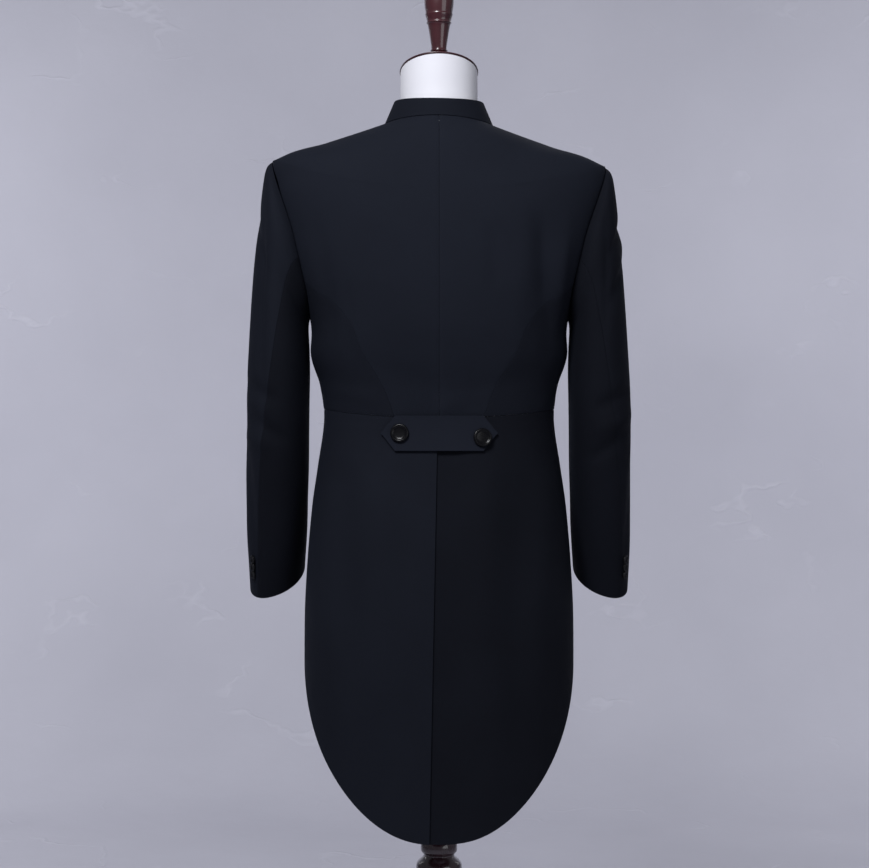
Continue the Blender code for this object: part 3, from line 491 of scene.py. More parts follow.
class Finish:
    """A material with one Principled shader; node() adds any other node."""

    def __init__(self, name, colour, roughness, **fixed):
        self.material = bpy.data.materials.new(name)
        self.material.use_nodes = True
        self.tree = self.material.node_tree
        self.shader = self.tree.nodes["Principled BSDF"]
        self.shader.inputs["Base Color"].default_value = (*colour, 1.0)
        self.shader.inputs["Roughness"].default_value = roughness
        for socket, value in fixed.items():
            self.shader.inputs[socket.replace("_", " ")].default_value = value

    def node(self, kind, output=0, settings=None, **sockets):
        node = self.tree.nodes.new(kind)
        for key, value in (settings or {}).items():
            setattr(node, key, value)
        for key, value in sockets.items():
            slot = node.inputs[key.replace("_", " ")]
            if isinstance(value, Value):
                self.tree.links.new(value.socket, slot)
            else:
                slot.default_value = value
        return Value(self.tree, node.outputs[output])

    def place(self, kind="Object"):
        return self.node("ShaderNodeTexCoord", output=kind)

    def part(self, vector, axis):
        return self.node("ShaderNodeSeparateXYZ", output=axis, Vector=vector)

    def noise(self, place, scale, detail=3.0):
        return self.node("ShaderNodeTexNoise", output="Fac", Vector=place, Scale=scale, Detail=detail)

    def tint(self, mask, low, high):
        node = self.tree.nodes.new("ShaderNodeMix")
        node.data_type = "RGBA"
        self.tree.links.new(mask.socket, node.inputs["Factor"])
        node.inputs[6].default_value = (*low, 1.0)
        node.inputs[7].default_value = (*high, 1.0)
        return Value(self.tree, node.outputs[2])

    def feed(self, socket, value):
        self.tree.links.new(value.socket, self.shader.inputs[socket])

    def bump(self, height, distance, strength=1.0):
        node = self.node("ShaderNodeBump", Height=height, Distance=distance, Strength=strength)
        self.feed("Normal", node)


def sine(value):
    """Sine of a shader value."""
    return value.maths("SINE")


def wool_finish():
    """Fine twill: a diagonal rib of threads in the cloth's own grain, with a soft mottled nap, and
    painted light and shade per panel from a slow sine of the grain's U.
    """
    wool = Finish("dark_wool_twill", (0.006, 0.007, 0.012), 0.82, Sheen_Weight=0.010,
                  Sheen_Roughness=0.4, Sheen_Tint=(0.45, 0.58, 1.0, 1.0),
                  Specular_IOR_Level=0.09)
    grain = wool.node("ShaderNodeUVMap", settings={"uv_map": "grain"})
    across, down = wool.part(grain, "X"), wool.part(grain, "Y")
    twill = sine((across + down) * (2 * math.pi / 0.0011))
    thread = sine((across - down) * (2 * math.pi / 0.0006))
    nap = wool.noise(grain, 240.0, 4.0)
    cloud = wool.noise(wool.place(), 7.0, 3.0)
    # roll is painted light and shade: a slow sine of the grain's U, whose per-panel offset lightens some
    # panels and darkens others
    roll = sine(across * (2 * math.pi / PAINTED_SHADE_PERIOD))
    # Random cloud and nap mottle plus the painted panel light and shade
    mottle_and_painted_shade = cloud * 0.45 + nap * 0.3 + roll * 0.38 + 0.12
    wool.feed("Base Color", wool.tint(mottle_and_painted_shade, (0.0036, 0.0041, 0.0070), (0.0116, 0.0138, 0.0218)))
    wool.feed("Roughness", 0.72 + nap * 0.22)
    wool.bump(twill * 0.6 + thread * 0.25 + nap * 0.8, 0.00010, 0.7)
    return wool.material


def button_finish():
    """Polished black with faint turning marks."""
    black = Finish("polished_black_button", (0.003, 0.003, 0.004), 0.30, Coat_Weight=0.08,
                   Coat_Roughness=0.10, Specular_IOR_Level=0.14)
    spots = black.noise(black.place(), 900.0, 3.0)
    black.feed("Roughness", 0.20 + spots * 0.14)
    black.bump(spots, 0.00003, 0.5)
    return black.material


def form_finish():
    """White stretched jersey: fine vertical ribs with a soft mottle."""
    white = Finish("white_form_jersey", (0.80, 0.79, 0.84), 0.60, Sheen_Weight=0.15)
    place = white.place()
    rib = sine(white.part(place, "X") * (2 * math.pi / 0.0012))
    cross = sine(white.part(place, "Z") * (2 * math.pi / 0.0012))
    cloud = white.noise(place, 14.0, 3.0)
    white.feed("Base Color", white.tint(cloud, (0.76, 0.75, 0.81), (0.86, 0.85, 0.89)))
    white.feed("Roughness", 0.52 + cloud * 0.16)
    white.bump(rib * 0.5 + cross * 0.5, 0.00008, 0.5)
    return white.material


def wood_finish(name, dark, light):
    """Lacquered dark wood: streaks of grain drawn out along its length under a clear coat."""
    wood = Finish(name, dark, 0.25, Coat_Weight=0.9, Coat_Roughness=0.06)
    stretched = wood.node("ShaderNodeMapping", Vector=wood.place(), Scale=(60.0, 60.0, 6.0))
    grain = wood.noise(stretched, 1.6, 6.0)
    wood.feed("Base Color", wood.tint(grain, dark, light))
    wood.feed("Roughness", 0.18 + grain * 0.2)
    wood.bump(grain, 0.00012, 0.3)
    return wood.material


def satin_finish():
    """Black lining satin with its fine cross threads."""
    satin = Finish("black_lining_satin", (0.008, 0.008, 0.011), 0.36, Anisotropic=0.4)
    threads = sine(satin.part(satin.place(), "Z") * (2 * math.pi / 0.0005))
    satin.feed("Roughness", 0.34 + threads * 0.05)
    satin.bump(threads, 0.00003, 0.5)
    return satin.material


def thread_finish():
    """Black thread twisted on the slant: sin(2 pi (x + z) / 0.7 mm)."""
    thread = Finish("black_thread", (0.012, 0.013, 0.018), 0.6, Sheen_Weight=0.2)
    place = thread.place()
    twist = sine((thread.part(place, "X") + thread.part(place, "Z")) * (2 * math.pi / 0.0007))
    thread.feed("Roughness", 0.55 + twist * 0.08)
    thread.bump(twist, 0.00008, 0.6)
    return thread.material


# Meshes

def grid_faces(rows, columns, start=0, closed=False):
    """Four-sided faces of a grid of points numbered row by row."""
    row, column = np.meshgrid(np.arange(rows - 1), np.arange(columns - (not closed)), indexing="ij")
    beside = (column + 1) % columns
    corners = (row * columns + column, row * columns + beside,
               (row + 1) * columns + beside, (row + 1) * columns + column)
    return (np.stack(corners, axis=-1).reshape(-1, 4) + start).tolist()


def piece_from(name, points, faces, material, grain=None, sharp=40, flip=False):
    """Object at the origin whose mesh has outward faces and, for cloth, a grain UV in metres."""
    mesh = bpy.data.meshes.new(name)
    mesh.from_pydata(points.tolist(), [], faces)
    if grain is not None:
        layer = mesh.uv_layers.new(name="grain")
        number = np.empty(len(mesh.loops), dtype=np.int32)
        mesh.loops.foreach_get("vertex_index", number)
        layer.data.foreach_set("uv", grain[number].ravel())
    work = bmesh.new()
    work.from_mesh(mesh)
    bmesh.ops.recalc_face_normals(work, faces=work.faces)
    if flip:
        bmesh.ops.reverse_faces(work, faces=work.faces)
    work.to_mesh(mesh)
    work.free()
    mesh.shade_smooth()
    mesh.set_sharp_from_angle(angle=math.radians(sharp))
    mesh.materials.append(material)
    piece = bpy.data.objects.new(name, mesh)
    bpy.context.scene.collection.objects.link(piece)
    return piece


def cloth(node, outer, inner, side=RIGHT, material=None,
          rounding=0.0006):
    """Cloth wall over a node: two grids of points and a rim, its cut measured along the grids.

    Its grain's U starts at the panel's painted-shade offset, which the wool turns into painted light on
    some panels and painted shade on others.
    """
    outer, inner = lean(mirrored(outer, side)), lean(mirrored(inner, side))
    rows, columns = outer.shape[:2]
    count = rows * columns
    number = np.arange(count).reshape(rows, columns)
    edge = np.concatenate([number[0, :-1], number[:-1, -1], number[-1, :0:-1], number[:0:-1, 0]])
    after = np.roll(edge, -1)
    rim = np.stack([edge, after, after + count, edge + count], axis=-1).tolist()
    faces = grid_faces(rows, columns) + grid_faces(rows, columns, count) + rim
    across, down = lengths(outer, 1), lengths(outer, 0)
    # The U offset carries the panel's painted light and shade
    grain = np.stack([across + PAINTED_SHADE_OFFSET.get(node, 0.0), down], axis=-1).reshape(-1, 2)
    points = np.concatenate([outer.reshape(-1, 3), inner.reshape(-1, 3)])
    piece = piece_from(node + "_cloth", points, faces, material or WOOL, np.concatenate([grain, grain]))
    bevel = piece.modifiers.new("Rounded edges", "BEVEL")
    bevel.width = rounding
    bevel.segments = 2
    bevel.limit_method = "ANGLE"
    bevel.angle_limit = math.radians(50)
    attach(piece, "root")
    if material is None:
        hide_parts(node)
    diagonals = np.cross(outer[1:, 1:] - outer[:-1, :-1], outer[1:, :-1] - outer[:-1, 1:])
    return piece


def body_cloth(node, angle, level, side, table, **seams):
    """Panel of the coat above the waist, its folds added along the cloth's outward direction."""
    place = body(angle, level)
    raised = folds(table, place[..., 0] * side, place[..., 2])
    level_share = ease(level, *BODY_FOLDS_START) * (1 - ease(level, *BODY_FOLDS_END))
    depth = lap_depth(angle, side) - raised * level_share + seam_roll(place, **seams)
    outer = moved_in(body, angle, level, depth)
    inner = moved_in(body, angle, level, depth + CLOTH)
    return cloth(node, outer, inner, side)


def panel_levels(start_level):
    """Levels of the rows of a back or front, close together for the folds."""
    shoulder, below = LEVEL["shoulder"], LEVEL["waist"] - start_level
    rows = [np.linspace(0.0, shoulder, SHOULDER_ROWS)[:-1],
            np.linspace(shoulder, start_level, ARMHOLE_ROWS)[:-1],
            start_level + below * toward_edges(PANEL_ROWS, PANEL_CROWDING)]
    return np.concatenate(rows)[:, None]


def make_backs_and_fronts():
    """Backs from the centre seam and fronts to the lap, each up to its armhole and side seam."""
    for side_name, side in SIDES.items():
        levels = panel_levels(SIDE_BACK_START[1])
        near = quarter_gap(levels, 3)
        far = outer_edge(levels, side_back_seam, SIDE_BACK_START[1], -1) - panel_gap(levels)
        angle = near + (far - near) * toward_edges(BACK_ACROSS)[None, :]
        body_cloth("back_" + side_name, angle, levels + 0 * angle, side, BACK_FOLDS,
                   first=CENTRE_SEAM, foot=FLAT_SEAM,
                   last=np.where(levels < SIDE_BACK_START[1], ARMHOLE_SEAM, FLAT_SEAM))
        levels = panel_levels(SIDE_FRONT_START[1])
        near = outer_edge(levels, side_front_seam, SIDE_FRONT_START[1], 1) + panel_gap(levels)
        angle = near + (180 + FRONT_LAP - near) * toward_edges(FRONT_ACROSS)[None, :]
        body_cloth("front_" + side_name, angle, levels + 0 * angle, side, FRONT_FOLDS,
                   first=np.where(levels < SIDE_FRONT_START[1], ARMHOLE_SEAM, FLAT_SEAM), foot=FLAT_SEAM)


def make_sides():
    """Side bodies: a patch between the armhole's foot, the waist and the two side seams."""
    for side_name, side in SIDES.items():
        across = toward_edges(SIDE_ACROSS)[None, :]
        down = toward_edges(SIDE_DOWN)[:, None]
        top_angle, top_level = armhole(SIDE_BACK_TURN + (SIDE_FRONT_TURN - SIDE_BACK_TURN) * across)
        level = top_level + (LEVEL["waist"] - top_level) * down
        foot_back, foot_front = SIDE_BACK_SEAM["waist"], SIDE_FRONT_SEAM
        foot = foot_back + (foot_front - foot_back) * across
        corners = (1 - down) * (top_angle[:, :1] * (1 - across) + top_angle[:, -1:] * across)
        corners = corners + down * foot
        angle = (1 - down) * top_angle + down * foot - corners
        angle = angle + side_back_seam(level[:, :1]) * (1 - across)
        angle = angle + side_front_seam(level[:, -1:]) * across
        angle = angle + edge_gap(level) * (1 - 2 * across)
        body_cloth("side_" + side_name, angle, level, side, BACK_FOLDS,
                   first=FLAT_SEAM, last=FLAT_SEAM, top=ARMHOLE_SEAM, foot=FLAT_SEAM)


def waist_height(angle):
    """Height of the waist seam round the coat."""
    return body(angle, LEVEL["waist"])[..., 2]


def hem_height(angle):
    """Hem: a sloping plane round the back, c^6 for the tip of the tail, c^2 for the front's rise."""
    toward_back = np.cos(np.radians(angle))
    tip = HEM_TIP * np.maximum(toward_back, 0) ** 6
    rise = HEM_FRONT_RISE * np.minimum(toward_back, 0) ** 2
    return HEM_SIDE - HEM_SLOPE * toward_back - tip + rise


def angle_at_x(x, height):
    """Angle at which the skirt's back half has this x, from x = width * sin^(2/n)."""
    table = np.asarray(SKIRT_SECTIONS)
    width = np.interp(-height, -table[:, 0], table[:, 1])
    return np.degrees(np.arcsin(signed_power(x / width, SKIRT_SECTIONS[0][4] / 2)))


def make_tails():
    """Tails: each hangs from the waist seam to the hem, with soft flutes down its length."""
    for side_name, side in SIDES.items():
        across = np.linspace(0, 1, TAIL_ACROSS)[None, :] ** TAIL_CROWDING
        down = toward_edges(TAIL_DOWN)[:, None]
        far = 180 + FRONT_LAP
        plain = far * across
        height = waist_height(plain) - SEAM_GAP + (hem_height(plain) - waist_height(plain)) * down
        drift = VENT_EDGE_TOP + (VENT_EDGE_FOOT - VENT_EDGE_TOP) * down
        edge_x = -drift if side == LEFT else drift - VENT_UNDERLAP
        near = angle_at_x(edge_x, height[:, :1])
        angle = near + (far - near) * across
        drop = hem_height(angle) + SEAM_GAP - waist_height(angle)
        height = waist_height(angle) - SEAM_GAP + drop * down
        under = LAP * (1 - ease(angle, 2.0, 2.0 + LAP_RAMP)) * (side == RIGHT)
        place = skirt(angle, height)
        clear = 1 - ease(height, *TAIL_FOLDS_START)
        behind = ease(-place[..., 1], *TAIL_FOLDS_BEHIND)
        apart = ease(np.abs(place[..., 0]), *TAIL_FOLDS_APART)
        raised = folds(TAIL_FOLDS, place[..., 0] * side, height) * clear * behind * apart
        depth = under + lap_depth(angle, side) - raised + seam_roll(place, top=FLAT_SEAM)
        outer = moved_in(skirt, angle, height, depth, SKIRT_STEP)
        inner = moved_in(skirt, angle, height, depth + CLOTH, SKIRT_STEP)
        cloth("tail_" + side_name, outer, inner, side)


def sleeve(turn, along):
    """Sleeve: squared ovals between an outer and an inner line, pulled onto the armhole's edge."""
    turn, along = np.broadcast_arrays(np.asarray(turn, float), np.asarray(along, float))

    def oval(at):
        section = smooth_rows(SLEEVE_SECTIONS, at)
        outer_x, outer_z, inner_x, inner_z, middle_y, half_depth, slant = np.moveaxis(section, -1, 0)
        power = 2.0 / SLEEVE_SQUARENESS
        out = signed_power(np.cos(np.radians(turn)), power)
        back = signed_power(np.sin(np.radians(turn)), power)
        x = (outer_x + inner_x) / 2 + (outer_x - inner_x) / 2 * out
        z = (outer_z + inner_z) / 2 + (outer_z - inner_z) / 2 * out + slant * back
        return np.stack([x, middle_y - half_depth * back, z], axis=-1)

    edge = body(*armhole(turn)) + np.array([ARMHOLE_GAP, 0.0, 0.0])
    pull = (1 - ease(along, 0.0, ARMHOLE_FADE))[..., None]
    return oval(along) + pull * (edge - oval(np.zeros_like(along)))


def sleeve_moved_in(turn, along, depth):
    """Sleeve points moved towards its hollow, straight at the middle next to the armhole."""
    across = sleeve(turn + 2.0, along) - sleeve(turn - 2.0, along)
    low = np.maximum(along - 0.04, 0.0)
    high = np.minimum(along + 0.04, len(SLEEVE_SECTIONS) - 1.0)
    normal = unit(np.cross(across, sleeve(turn, high) - sleeve(turn, low)))
    middle = np.mean(sleeve(np.linspace(0, 345, 24)[None, :], along[:, :1]), axis=1)[:, None, :]
    points = sleeve(turn, along)
    inward = middle - points
    normal *= np.sign(np.sum(normal * inward, axis=-1, keepdims=True))
    radial = unit(inward * np.array([0.0, 1.0, 1.0]))
    direction = unit(normal + (1 - ease(along, 0.0, 0.6))[..., None] * (radial - normal))
    return points + direction * np.asarray(depth)[..., None]


def make_sleeves():
    """Top and under sleeve between the hind and the fore seam, which turn forward to the cuff."""
    for side_name, side in SIDES.items():
        last = len(SLEEVE_SECTIONS) - 1.0
        along = np.concatenate([np.linspace(0, SLEEVE_HEAD, HEAD_ROWS)[:-1],
                                np.linspace(SLEEVE_HEAD, last, ARM_ROWS)])[:, None]
        hind = HIND_SEAM_TOP + (HIND_SEAM_CUFF - HIND_SEAM_TOP) * ease(along / last, 0.1, 1.0)
        fore = FORE_SEAM_TOP + (FORE_SEAM_CUFF - FORE_SEAM_TOP) * along / last
        gap = math.degrees(PANEL_GAP / 2 / SLEEVE_REACH)
        pieces = {"top_sleeve_": (fore + gap, hind - gap, TOP_SLEEVE_ACROSS),
                  "under_sleeve_": (hind + gap, fore + 360 - gap, UNDER_SLEEVE_ACROSS)}
        for prefix, (start, end, columns) in pieces.items():
            turn = start + (end - start) * toward_edges(columns)[None, :]
            rows = along + 0 * turn
            place = sleeve(turn, rows)
            height = place[..., 2]
            around = np.radians(np.where(turn > 180, turn - 360, turn)) * SLEEVE_REACH
            settled = ease(rows, *SLEEVE_FOLDS_START) * (1 - ease(rows, *SLEEVE_FOLDS_END))
            outside = 1 - ease(np.abs(around), *SLEEVE_FOLDS_ROUND)
            raised = folds(SLEEVE_FOLDS[side_name], around, height) * settled * outside
            depth = seam_roll(place, first=FLAT_SEAM, last=FLAT_SEAM, top=ARMHOLE_SEAM) - raised
            outer = sleeve_moved_in(turn, rows, depth)
            inner = sleeve_moved_in(turn, rows, CLOTH + depth)
            cloth(prefix + side_name, outer, inner, side)


def collar_point(angle, rise):
    """Stand collar: straight lines from the neck seam up to the collar's top ring."""
    top = COLLAR_TOP
    x, y = ring(angle, top["half_width"], top["back"], top["front"], 2.0)
    z_end = np.where(np.abs(angle) < 90, top["z_back"], top["z_front"])
    z = z_end + (top["z_side"] - z_end) * np.sin(np.radians(angle)) ** 2
    foot = body(angle, 0.0)
    share = rise[..., None]
    return foot + (np.stack([x, y, z], axis=-1) - foot) * share + np.array([0.0, 0.0, COLLAR_GAP])


def make_collar():
    """Collar wall: moved in along its normal, level at its foot."""
    end = 180 - COLLAR_FRONT_GAP
    angle, rise = np.meshgrid(np.linspace(-end, end, COLLAR_ROUND), np.linspace(0, 1, COLLAR_UP))
    across = collar_point(angle + 0.4, rise) - collar_point(angle - 0.4, rise)
    up = collar_point(angle, rise + 0.02) - collar_point(angle, rise - 0.02)
    normal = unit(np.cross(across, up))
    outer = collar_point(angle, rise)
    normal *= np.sign(np.sum(normal * outer * np.array([1.0, 1.0, 0.0]), axis=-1, keepdims=True))
    normal[0, :, 2] = 0.0
    cloth("collar", outer, outer - normal * COLLAR_CLOTH, rounding=0.0010)


def belt_point(x, height, out):
    """Point this far out from the skirt's back, at an x and a height."""
    return moved_in(skirt, angle_at_x(x, height), height, -out + 0 * x, SKIRT_STEP)


def make_belt():
    """Half belt: a band whose half height shrinks to a point over its last stretch."""
    taper = BELT_HALF_LENGTH - BELT_TAPER
    x = np.concatenate([np.linspace(-BELT_HALF_LENGTH, -taper, BELT_ENDS)[:-1],
                        np.linspace(-taper, taper, BELT_MIDDLE),
                        np.linspace(taper, BELT_HALF_LENGTH, BELT_ENDS)[1:]])[None, :]
    tip = np.clip((BELT_HALF_LENGTH - np.abs(x)) / BELT_TAPER, BELT_TIP, 1.0)
    half = (BELT_TOP - BELT_FOOT) / 2 * tip
    height = (BELT_TOP + BELT_FOOT) / 2 + half * np.linspace(1, -1, BELT_DOWN)[:, None]
    x = x + 0 * height
    outer = belt_point(x, height, BELT_STANDOFF + BELT_CLOTH)
    cloth("half_belt", outer, belt_point(x, height, BELT_STANDOFF), rounding=0.0009)


def turned_points(profile, steps):
    """Profile of radius and height carried round Z."""
    profile = np.asarray(profile, float)
    turn = np.linspace(0, 2 * np.pi, steps, endpoint=False)
    radius, height = profile[:, :1], profile[:, 1:]
    return np.stack([radius * np.cos(turn), radius * np.sin(turn), height + 0 * turn], axis=-1)


def rounded_profile(profile, steps=6):
    """Smooth curve through a turned profile's points."""
    return smooth_rows(profile, np.linspace(0, len(profile) - 1, (len(profile) - 1) * steps + 1))


def capped(rows, columns):
    """Faces of a closed stack of rings with a flat cap at each end."""
    faces = grid_faces(rows, columns, closed=True)
    faces.append(list(range(columns)))
    faces.append(list(range((rows - 1) * columns, rows * columns)))
    return faces


def ring_piece(name, rings, material, node, sharp=40):
    """Closed piece through a stack of rings, in the place of its node."""
    faces = capped(rings.shape[0], rings.shape[1])
    piece = piece_from(name, rings.reshape(-1, 3), faces, material, sharp=sharp)
    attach(piece, "root")
    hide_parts(node)


def button_profile(size):
    """Dished face, raised round rim, rounded edge and flat back, from the middle outwards."""
    radius, thick = size
    face = ((0.01, 0.60), (0.20, 0.61), (0.45, 0.64), (0.62, 0.68), (0.70, 0.80), (0.77, 0.97),
            (0.84, 1.00), (0.92, 0.95), (0.98, 0.76), (1.00, 0.50), (0.97, 0.22), (0.90, 0.0),
            (0.01, 0.0))
    return np.array([(radius * part, thick * rise) for part, rise in face])


def place_button(node, size, point, outward):
    """Turned button whose axis follows the cloth's outward direction."""
    points = turned_points(button_profile(size), BUTTON_STEPS)
    outward = Vector(outward).normalized()
    turn = np.array(outward.to_track_quat("Z", "Y").to_matrix())
    placed = points.reshape(-1, 3) @ turn.T + np.array(Vector(point) + outward * SEAM_GAP)
    ring_piece(node + "_turned", placed.reshape(points.shape), BUTTON, node, sharp=60)


def front_level(height):
    """Level at which the centre front has this height."""
    levels = np.linspace(0, LEVEL["waist"], 701)
    return np.interp(-height, -body(180.0 + 0 * levels, levels)[:, 2], levels)


def make_buttons():
    """Buttons on the belt, the cuffs and the front, each at its height on the cloth."""
    for side_name, (x, height) in BELT_BUTTONS.items():
        at, up = np.array([[x]]), np.array([[height]])
        top = belt_point(at, up, BELT_STANDOFF + BELT_CLOTH)[0, 0]
        above = belt_point(at, up, BELT_STANDOFF + BELT_CLOTH + 0.01)[0, 0]
        place_button("belt_button_" + side_name, BELT_BUTTON, top, above - top)
    turn = HIND_SEAM_CUFF - CUFF_BUTTON_INSET
    runs = np.linspace(9.0, 12.0, 301)
    heights = sleeve(turn + 0 * runs, runs)[:, 2]
    for side_name, side in SIDES.items():
        for number, height in enumerate(CUFF_BUTTON_HEIGHTS, start=1):
            along = np.array([[float(np.interp(-height, -heights, runs))]])
            here = np.array([[turn]])
            point = mirrored(sleeve(here, along)[0, 0], side)
            inside = mirrored(sleeve_moved_in(here, along, CLOTH)[0, 0], side)
            place_button(f"cuff_button_{side_name}_{number}", CUFF_BUTTON, point, point - inside)
    for number, height in enumerate(FRONT_BUTTON_HEIGHTS, start=1):
        level = np.array([[float(front_level(height))]])
        angle = np.array([[180.0]])
        point = body(angle, level)[0, 0]
        inside = moved_in(body, angle, level, np.array([[CLOTH]]))[0, 0]
        place_button(f"front_button_{number}", FRONT_BUTTON, point, point - inside)


def make_buttonholes():
    """Worked holes on the left front: flat ovals x = a s, z = b sqrt(1 - s^2) cos t, and a lift."""
    along, around = np.meshgrid(np.sin(np.linspace(-1.45, 1.45, 33)), np.linspace(0, 2 * np.pi, 17)[:-1],
                                indexing="ij")
    round_off = np.sqrt(1 - along ** 2)
    for number, height in enumerate(FRONT_BUTTON_HEIGHTS, start=1):
        x = HOLE_MIDDLE + HOLE_HALF_LENGTH * along
        level = front_level(height + HOLE_HALF_WIDTH * round_off * np.cos(around))
        section = smooth_rows(BODY_ROWS, level)
        share = np.abs(x) / section[..., 3]
        angle = 180 + np.sign(x) * np.degrees(np.arcsin(share ** (section[..., 6] / 2)))
        lift = HOLE_RISE * (0.5 + round_off * np.sin(around))
        points = lean(mirrored(moved_in(body, angle, level, -lift), LEFT))
        piece = piece_from(f"buttonhole_{number}", points.reshape(-1, 3),
                           capped(along.shape[0], along.shape[1]), THREAD)
        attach(piece, "root")


def both_sides(points, around):
    """Points with x made negative where the turn is."""
    points[..., 0] *= np.where(around < 0, -1.0, 1.0)
    return points


def form_trunk(turn, level, out=0.0):
    """The coat's own sections moved in, with what reaches past the arm plates drawn in."""
    ridge = ease(90 - np.abs(np.abs(turn) - 90), *RIDGE_TURN) * ease(level, *RIDGE_IN)
    ridge = ridge * (1 - ease(level, *RIDGE_OUT))
    clearance = FORM_REST + (FORM_CLEARANCE - FORM_REST) * (1 - ridge) - out
    trunk = both_sides(moved_in(body, np.abs(turn), level, CLOTH + clearance), turn)
    past = np.maximum(np.abs(trunk[..., 0]) - FORM_ARM_PLATE, 0.0)
    trunk[..., 0] -= np.sign(trunk[..., 0]) * past * (1 - FORM_ARM_BULGE)
    trunk[..., 0] += np.sign(trunk[..., 0]) * out * (past > 0)
    return trunk


def make_lining():
    """Black satin lining close over the form, open down the centre front."""
    level, turn = np.meshgrid(np.linspace(LINING_TOP, LINING_FOOT, 56), np.linspace(-179, 179, 160),
                              indexing="ij")
    cloth("lining", form_trunk(turn, level, LINING_OUT + LINING_THICK),
          form_trunk(turn, level, LINING_OUT), material=SATIN, rounding=0.0001)


def make_form():
    """Form: neck rings, the coat's own sections moved in, arm plates, and hips rounded in below."""
    around = np.linspace(-180, 180, FORM_ROUND)[:-1]
    folded = np.abs(around)
    x, y = ring(around, NECK_RADIUS, NECK_RADIUS, NECK_RADIUS, 2.0)
    y = y + NECK_MIDDLE_Y
    top = np.stack([x, y, NECK_TOP - NECK_SLOPE * y], axis=-1)
    foot = np.stack([x * 1.01, y * 1.01, NECK_FOOT - 0.30 * (y + 0.06)], axis=-1)
    flare = moved_in(body, folded, np.full_like(folded, 0.04), np.full_like(folded, CLOTH + FLARE_DEPTH))
    flare = both_sides(flare, around) * FLARE_SHARE + foot * (1 - FLARE_SHARE)
    flare = flare - np.array([0.0, 0.0, FLARE_DROP])
    neck = np.stack([top, top + (foot - top) * 0.5, foot, flare])
    level, turn = np.meshgrid(FORM_LEVELS, around, indexing="ij")
    trunk = form_trunk(turn, level)
    height, turn = np.meshgrid(np.linspace(HIP_TOP, FORM_FOOT, HIP_ROWS), around, indexing="ij")
    rounding = FORM_FOOT_INSET * (1 - np.sqrt(np.clip((height - FORM_FOOT) / HIP_ROUNDING, 0, 1)))
    depth = CLOTH + FORM_CLEARANCE + HIP_CLEARANCE + rounding
    hips = both_sides(moved_in(skirt, np.abs(turn), height, depth, SKIRT_STEP), turn)
    hips[..., 2] = height
    rings = lean(np.concatenate([neck, trunk, hips]))
    ring_piece("form_torso_cover", rings, FORM_COVER, "form_torso")


def make_finial():
    """Turned finial on its slanted cap: a cap ring profile sheared by the neck's slope."""
    radius = NECK_RADIUS + CAP_PROUD
    low, high = 2 * SEAM_GAP, 2 * SEAM_GAP + CAP_THICKNESS
    cap = np.array([(HUB, low), (radius - 0.0006, low), (radius, low + 0.0007),
                    (radius - 0.0004, low + 0.0020), (radius * CAP_TOP_SHARE, high), (0.0095, high)])
    disc = turned_points(cap, TURNED_STEPS)
    disc[..., 1] += NECK_MIDDLE_Y
    disc[..., 2] += NECK_TOP - NECK_SLOPE * disc[..., 1]
    handle = turned_points(rounded_profile(FINIAL_PROFILE)[::-1], TURNED_STEPS)
    handle[..., 1] += NECK_MIDDLE_Y
    rings = np.concatenate([disc, handle[:-1]])
    ring_piece("neck_finial_wood", rings, MAHOGANY, "neck_finial")


def make_stand():
    """Turned pole, and a round base whose upper edge is a quarter circle."""
    pole = turned_points(rounded_profile(POLE_PROFILE), TURNED_STEPS)
    ring_piece("stand_pole_wood", pole, POLE_WOOD, "stand_pole")
    turn = np.linspace(0, math.pi / 2, 9)
    edge = [(BASE_RADIUS - BASE_ROUNDING * (1 - math.sin(a)),
             BASE_THICKNESS - BASE_ROUNDING * (1 - math.cos(a))) for a in turn]
    base = [(HUB, BASE_THICKNESS), (BASE_FLAT, BASE_THICKNESS)] + edge
    base += [(BASE_RADIUS, BASE_EDGE), (BASE_RADIUS - BASE_EDGE, 0.0), (HUB, 0.0)]
    disc = turned_points(base, BASE_STEPS)
    ring_piece("stand_base_wood", disc, POLE_WOOD, "stand_base")


# Room, lights and camera

def add_area(name, place, aim, size, power, colour):
    """Square area lamp turned towards a point."""
    light = bpy.data.lights.new(name, "AREA")
    light.size = size
    light.energy = power
    light.color = colour
    lamp = bpy.data.objects.new(name, light)
    lamp.location = place
    lamp.rotation_euler = (Vector(aim) - Vector(place)).to_track_quat("-Z", "Y").to_euler()
    bpy.context.scene.collection.objects.link(lamp)


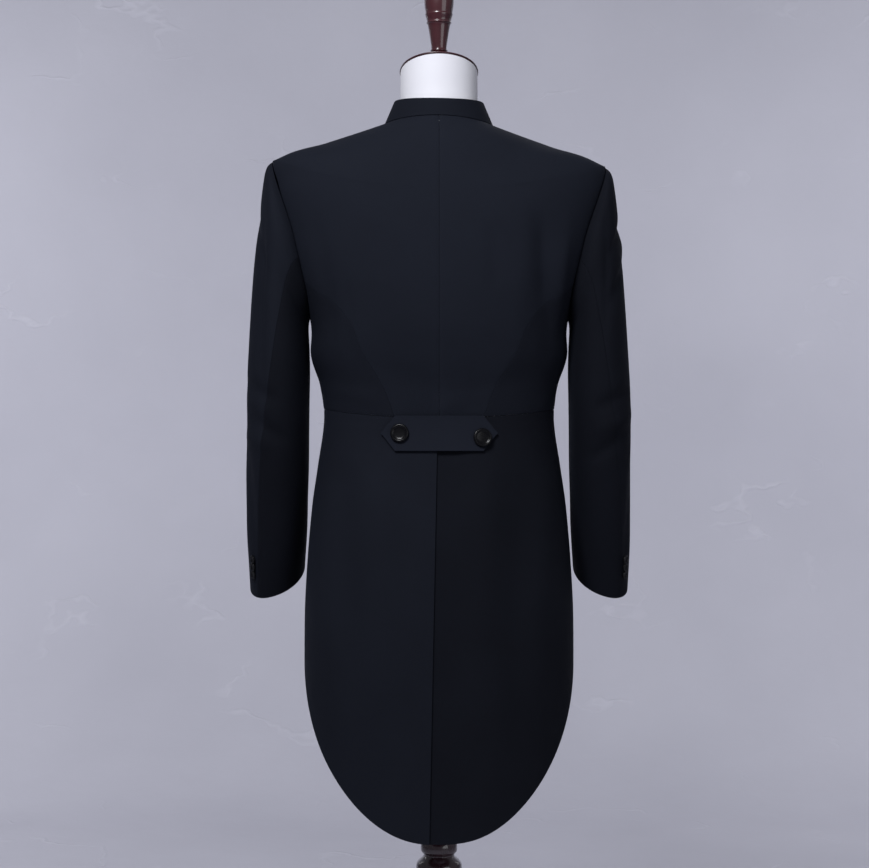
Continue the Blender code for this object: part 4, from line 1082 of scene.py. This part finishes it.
def make_room():
    """Pale floor curving up into a pale wall, which can be seen through from its back."""
    wall_y, width, height, bend = 3.6, 9.0, 6.0, 1.0
    turn = np.linspace(0, math.pi / 2, 17)
    profile = np.concatenate([[[-7.0, 0.0]], np.stack([wall_y - bend + bend * np.sin(turn),
                             bend - bend * np.cos(turn)], axis=-1), [[wall_y, height]]])
    x = np.array([-width, width])[None, :]
    points = np.stack([x + 0 * profile[:, :1], profile[:, :1] + 0 * x, profile[:, 1:] + 0 * x], axis=-1)
    points[..., 2] -= 0.0002
    room = Finish("pale_plaster_wall", (0.47, 0.47, 0.55), 0.9)
    place = room.place()
    cloud = room.noise(place, 1.3, 5.0)
    mark = room.node("ShaderNodeMapping", Vector=place, Scale=(0.7, 0.7, 1.2),
                     Rotation=(0.0, 0.5, 0.0))
    scratch = 1.0 - ((room.noise(mark, 2.6, 4.0) - 0.5).maths("ABSOLUTE") * 90.0).maths("MINIMUM", 1.0)
    patchy = ((room.noise(place, 3.1, 2.0) - 0.52) * 9.0).maths("MAXIMUM", 0.0).maths("MINIMUM", 1.0)
    crack = scratch * patchy
    room.feed("Base Color", room.tint(cloud * 0.9 + crack * 0.25, (0.385, 0.385, 0.445),
                                      (0.520, 0.520, 0.590)))
    room.bump(crack + room.noise(place, 9.0, 6.0) * 1.6, 0.004, 0.5)
    room.feed("Alpha", 1.0 - room.node("ShaderNodeNewGeometry", output="Backfacing"))
    faces = grid_faces(len(profile), 2)
    piece_from("studio_room", points.reshape(-1, 3), faces, room.material, flip=True)


def make_light():
    """High key behind the coat, weak fill, a lamp on its front and two on the wall."""
    add_area("key_light", (-0.80, -2.0, 3.0), (0.0, 0.0, 1.30), 0.9, 72.0, (0.95, 0.97, 1.0))
    add_area("front_light", (0.9, 2.9, 3.3), (0.0, 0.0, 1.1), 1.0, 9.0, (1.0, 0.98, 0.96))
    add_area("fill_light", (2.2, -2.6, 1.4), (0.0, 0.0, 1.3), 2.0, 16.0, (0.95, 0.97, 1.0))
    for name, x, power in (("wall_light_left", -2.2, 33.0), ("wall_light_right", 2.2, 27.0)):
        add_area(name, (x, 1.7, 1.7), (x * 0.30, 3.6, 1.45), 1.2, power, (0.98, 0.98, 1.0))
    world = bpy.data.worlds.new("studio_air")
    world.use_nodes = True
    world.node_tree.nodes["Background"].inputs["Color"].default_value = (0.88, 0.90, 1.0, 1.0)
    world.node_tree.nodes["Background"].inputs["Strength"].default_value = 0.18
    bpy.context.scene.world = world
    bpy.context.scene.view_settings.view_transform = "Standard"


def make_camera():
    """Level camera whose lens gives METRES_A_PIXEL at the coat's middle."""
    data = bpy.data.cameras.new("photo_view")
    data.sensor_fit = "HORIZONTAL"
    data.sensor_width = SENSOR_WIDTH
    data.lens = EYE_DISTANCE / METRES_A_PIXEL / IMAGE_WIDTH * SENSOR_WIDTH
    camera = bpy.data.objects.new("photo_view", data)
    camera.location = (EYE_X, -EYE_DISTANCE, EYE_HEIGHT)
    camera.rotation_euler = (math.radians(90), 0.0, 0.0)
    bpy.context.scene.collection.objects.link(camera)
    bpy.context.scene.camera = camera


WOOL = wool_finish()
BUTTON = button_finish()
THREAD = thread_finish()
SATIN = satin_finish()
FORM_COVER = form_finish()
MAHOGANY = wood_finish("mahogany_lacquer", (0.030, 0.006, 0.010), (0.075, 0.016, 0.020))
POLE_WOOD = wood_finish("dark_pole_lacquer", (0.020, 0.008, 0.012), (0.045, 0.018, 0.024))

make_backs_and_fronts()
make_sides()
make_tails()
make_sleeves()
make_collar()
make_belt()
make_buttons()
make_buttonholes()
make_lining()
make_form()
make_finial()
make_stand()
make_room()
make_light()
make_camera()
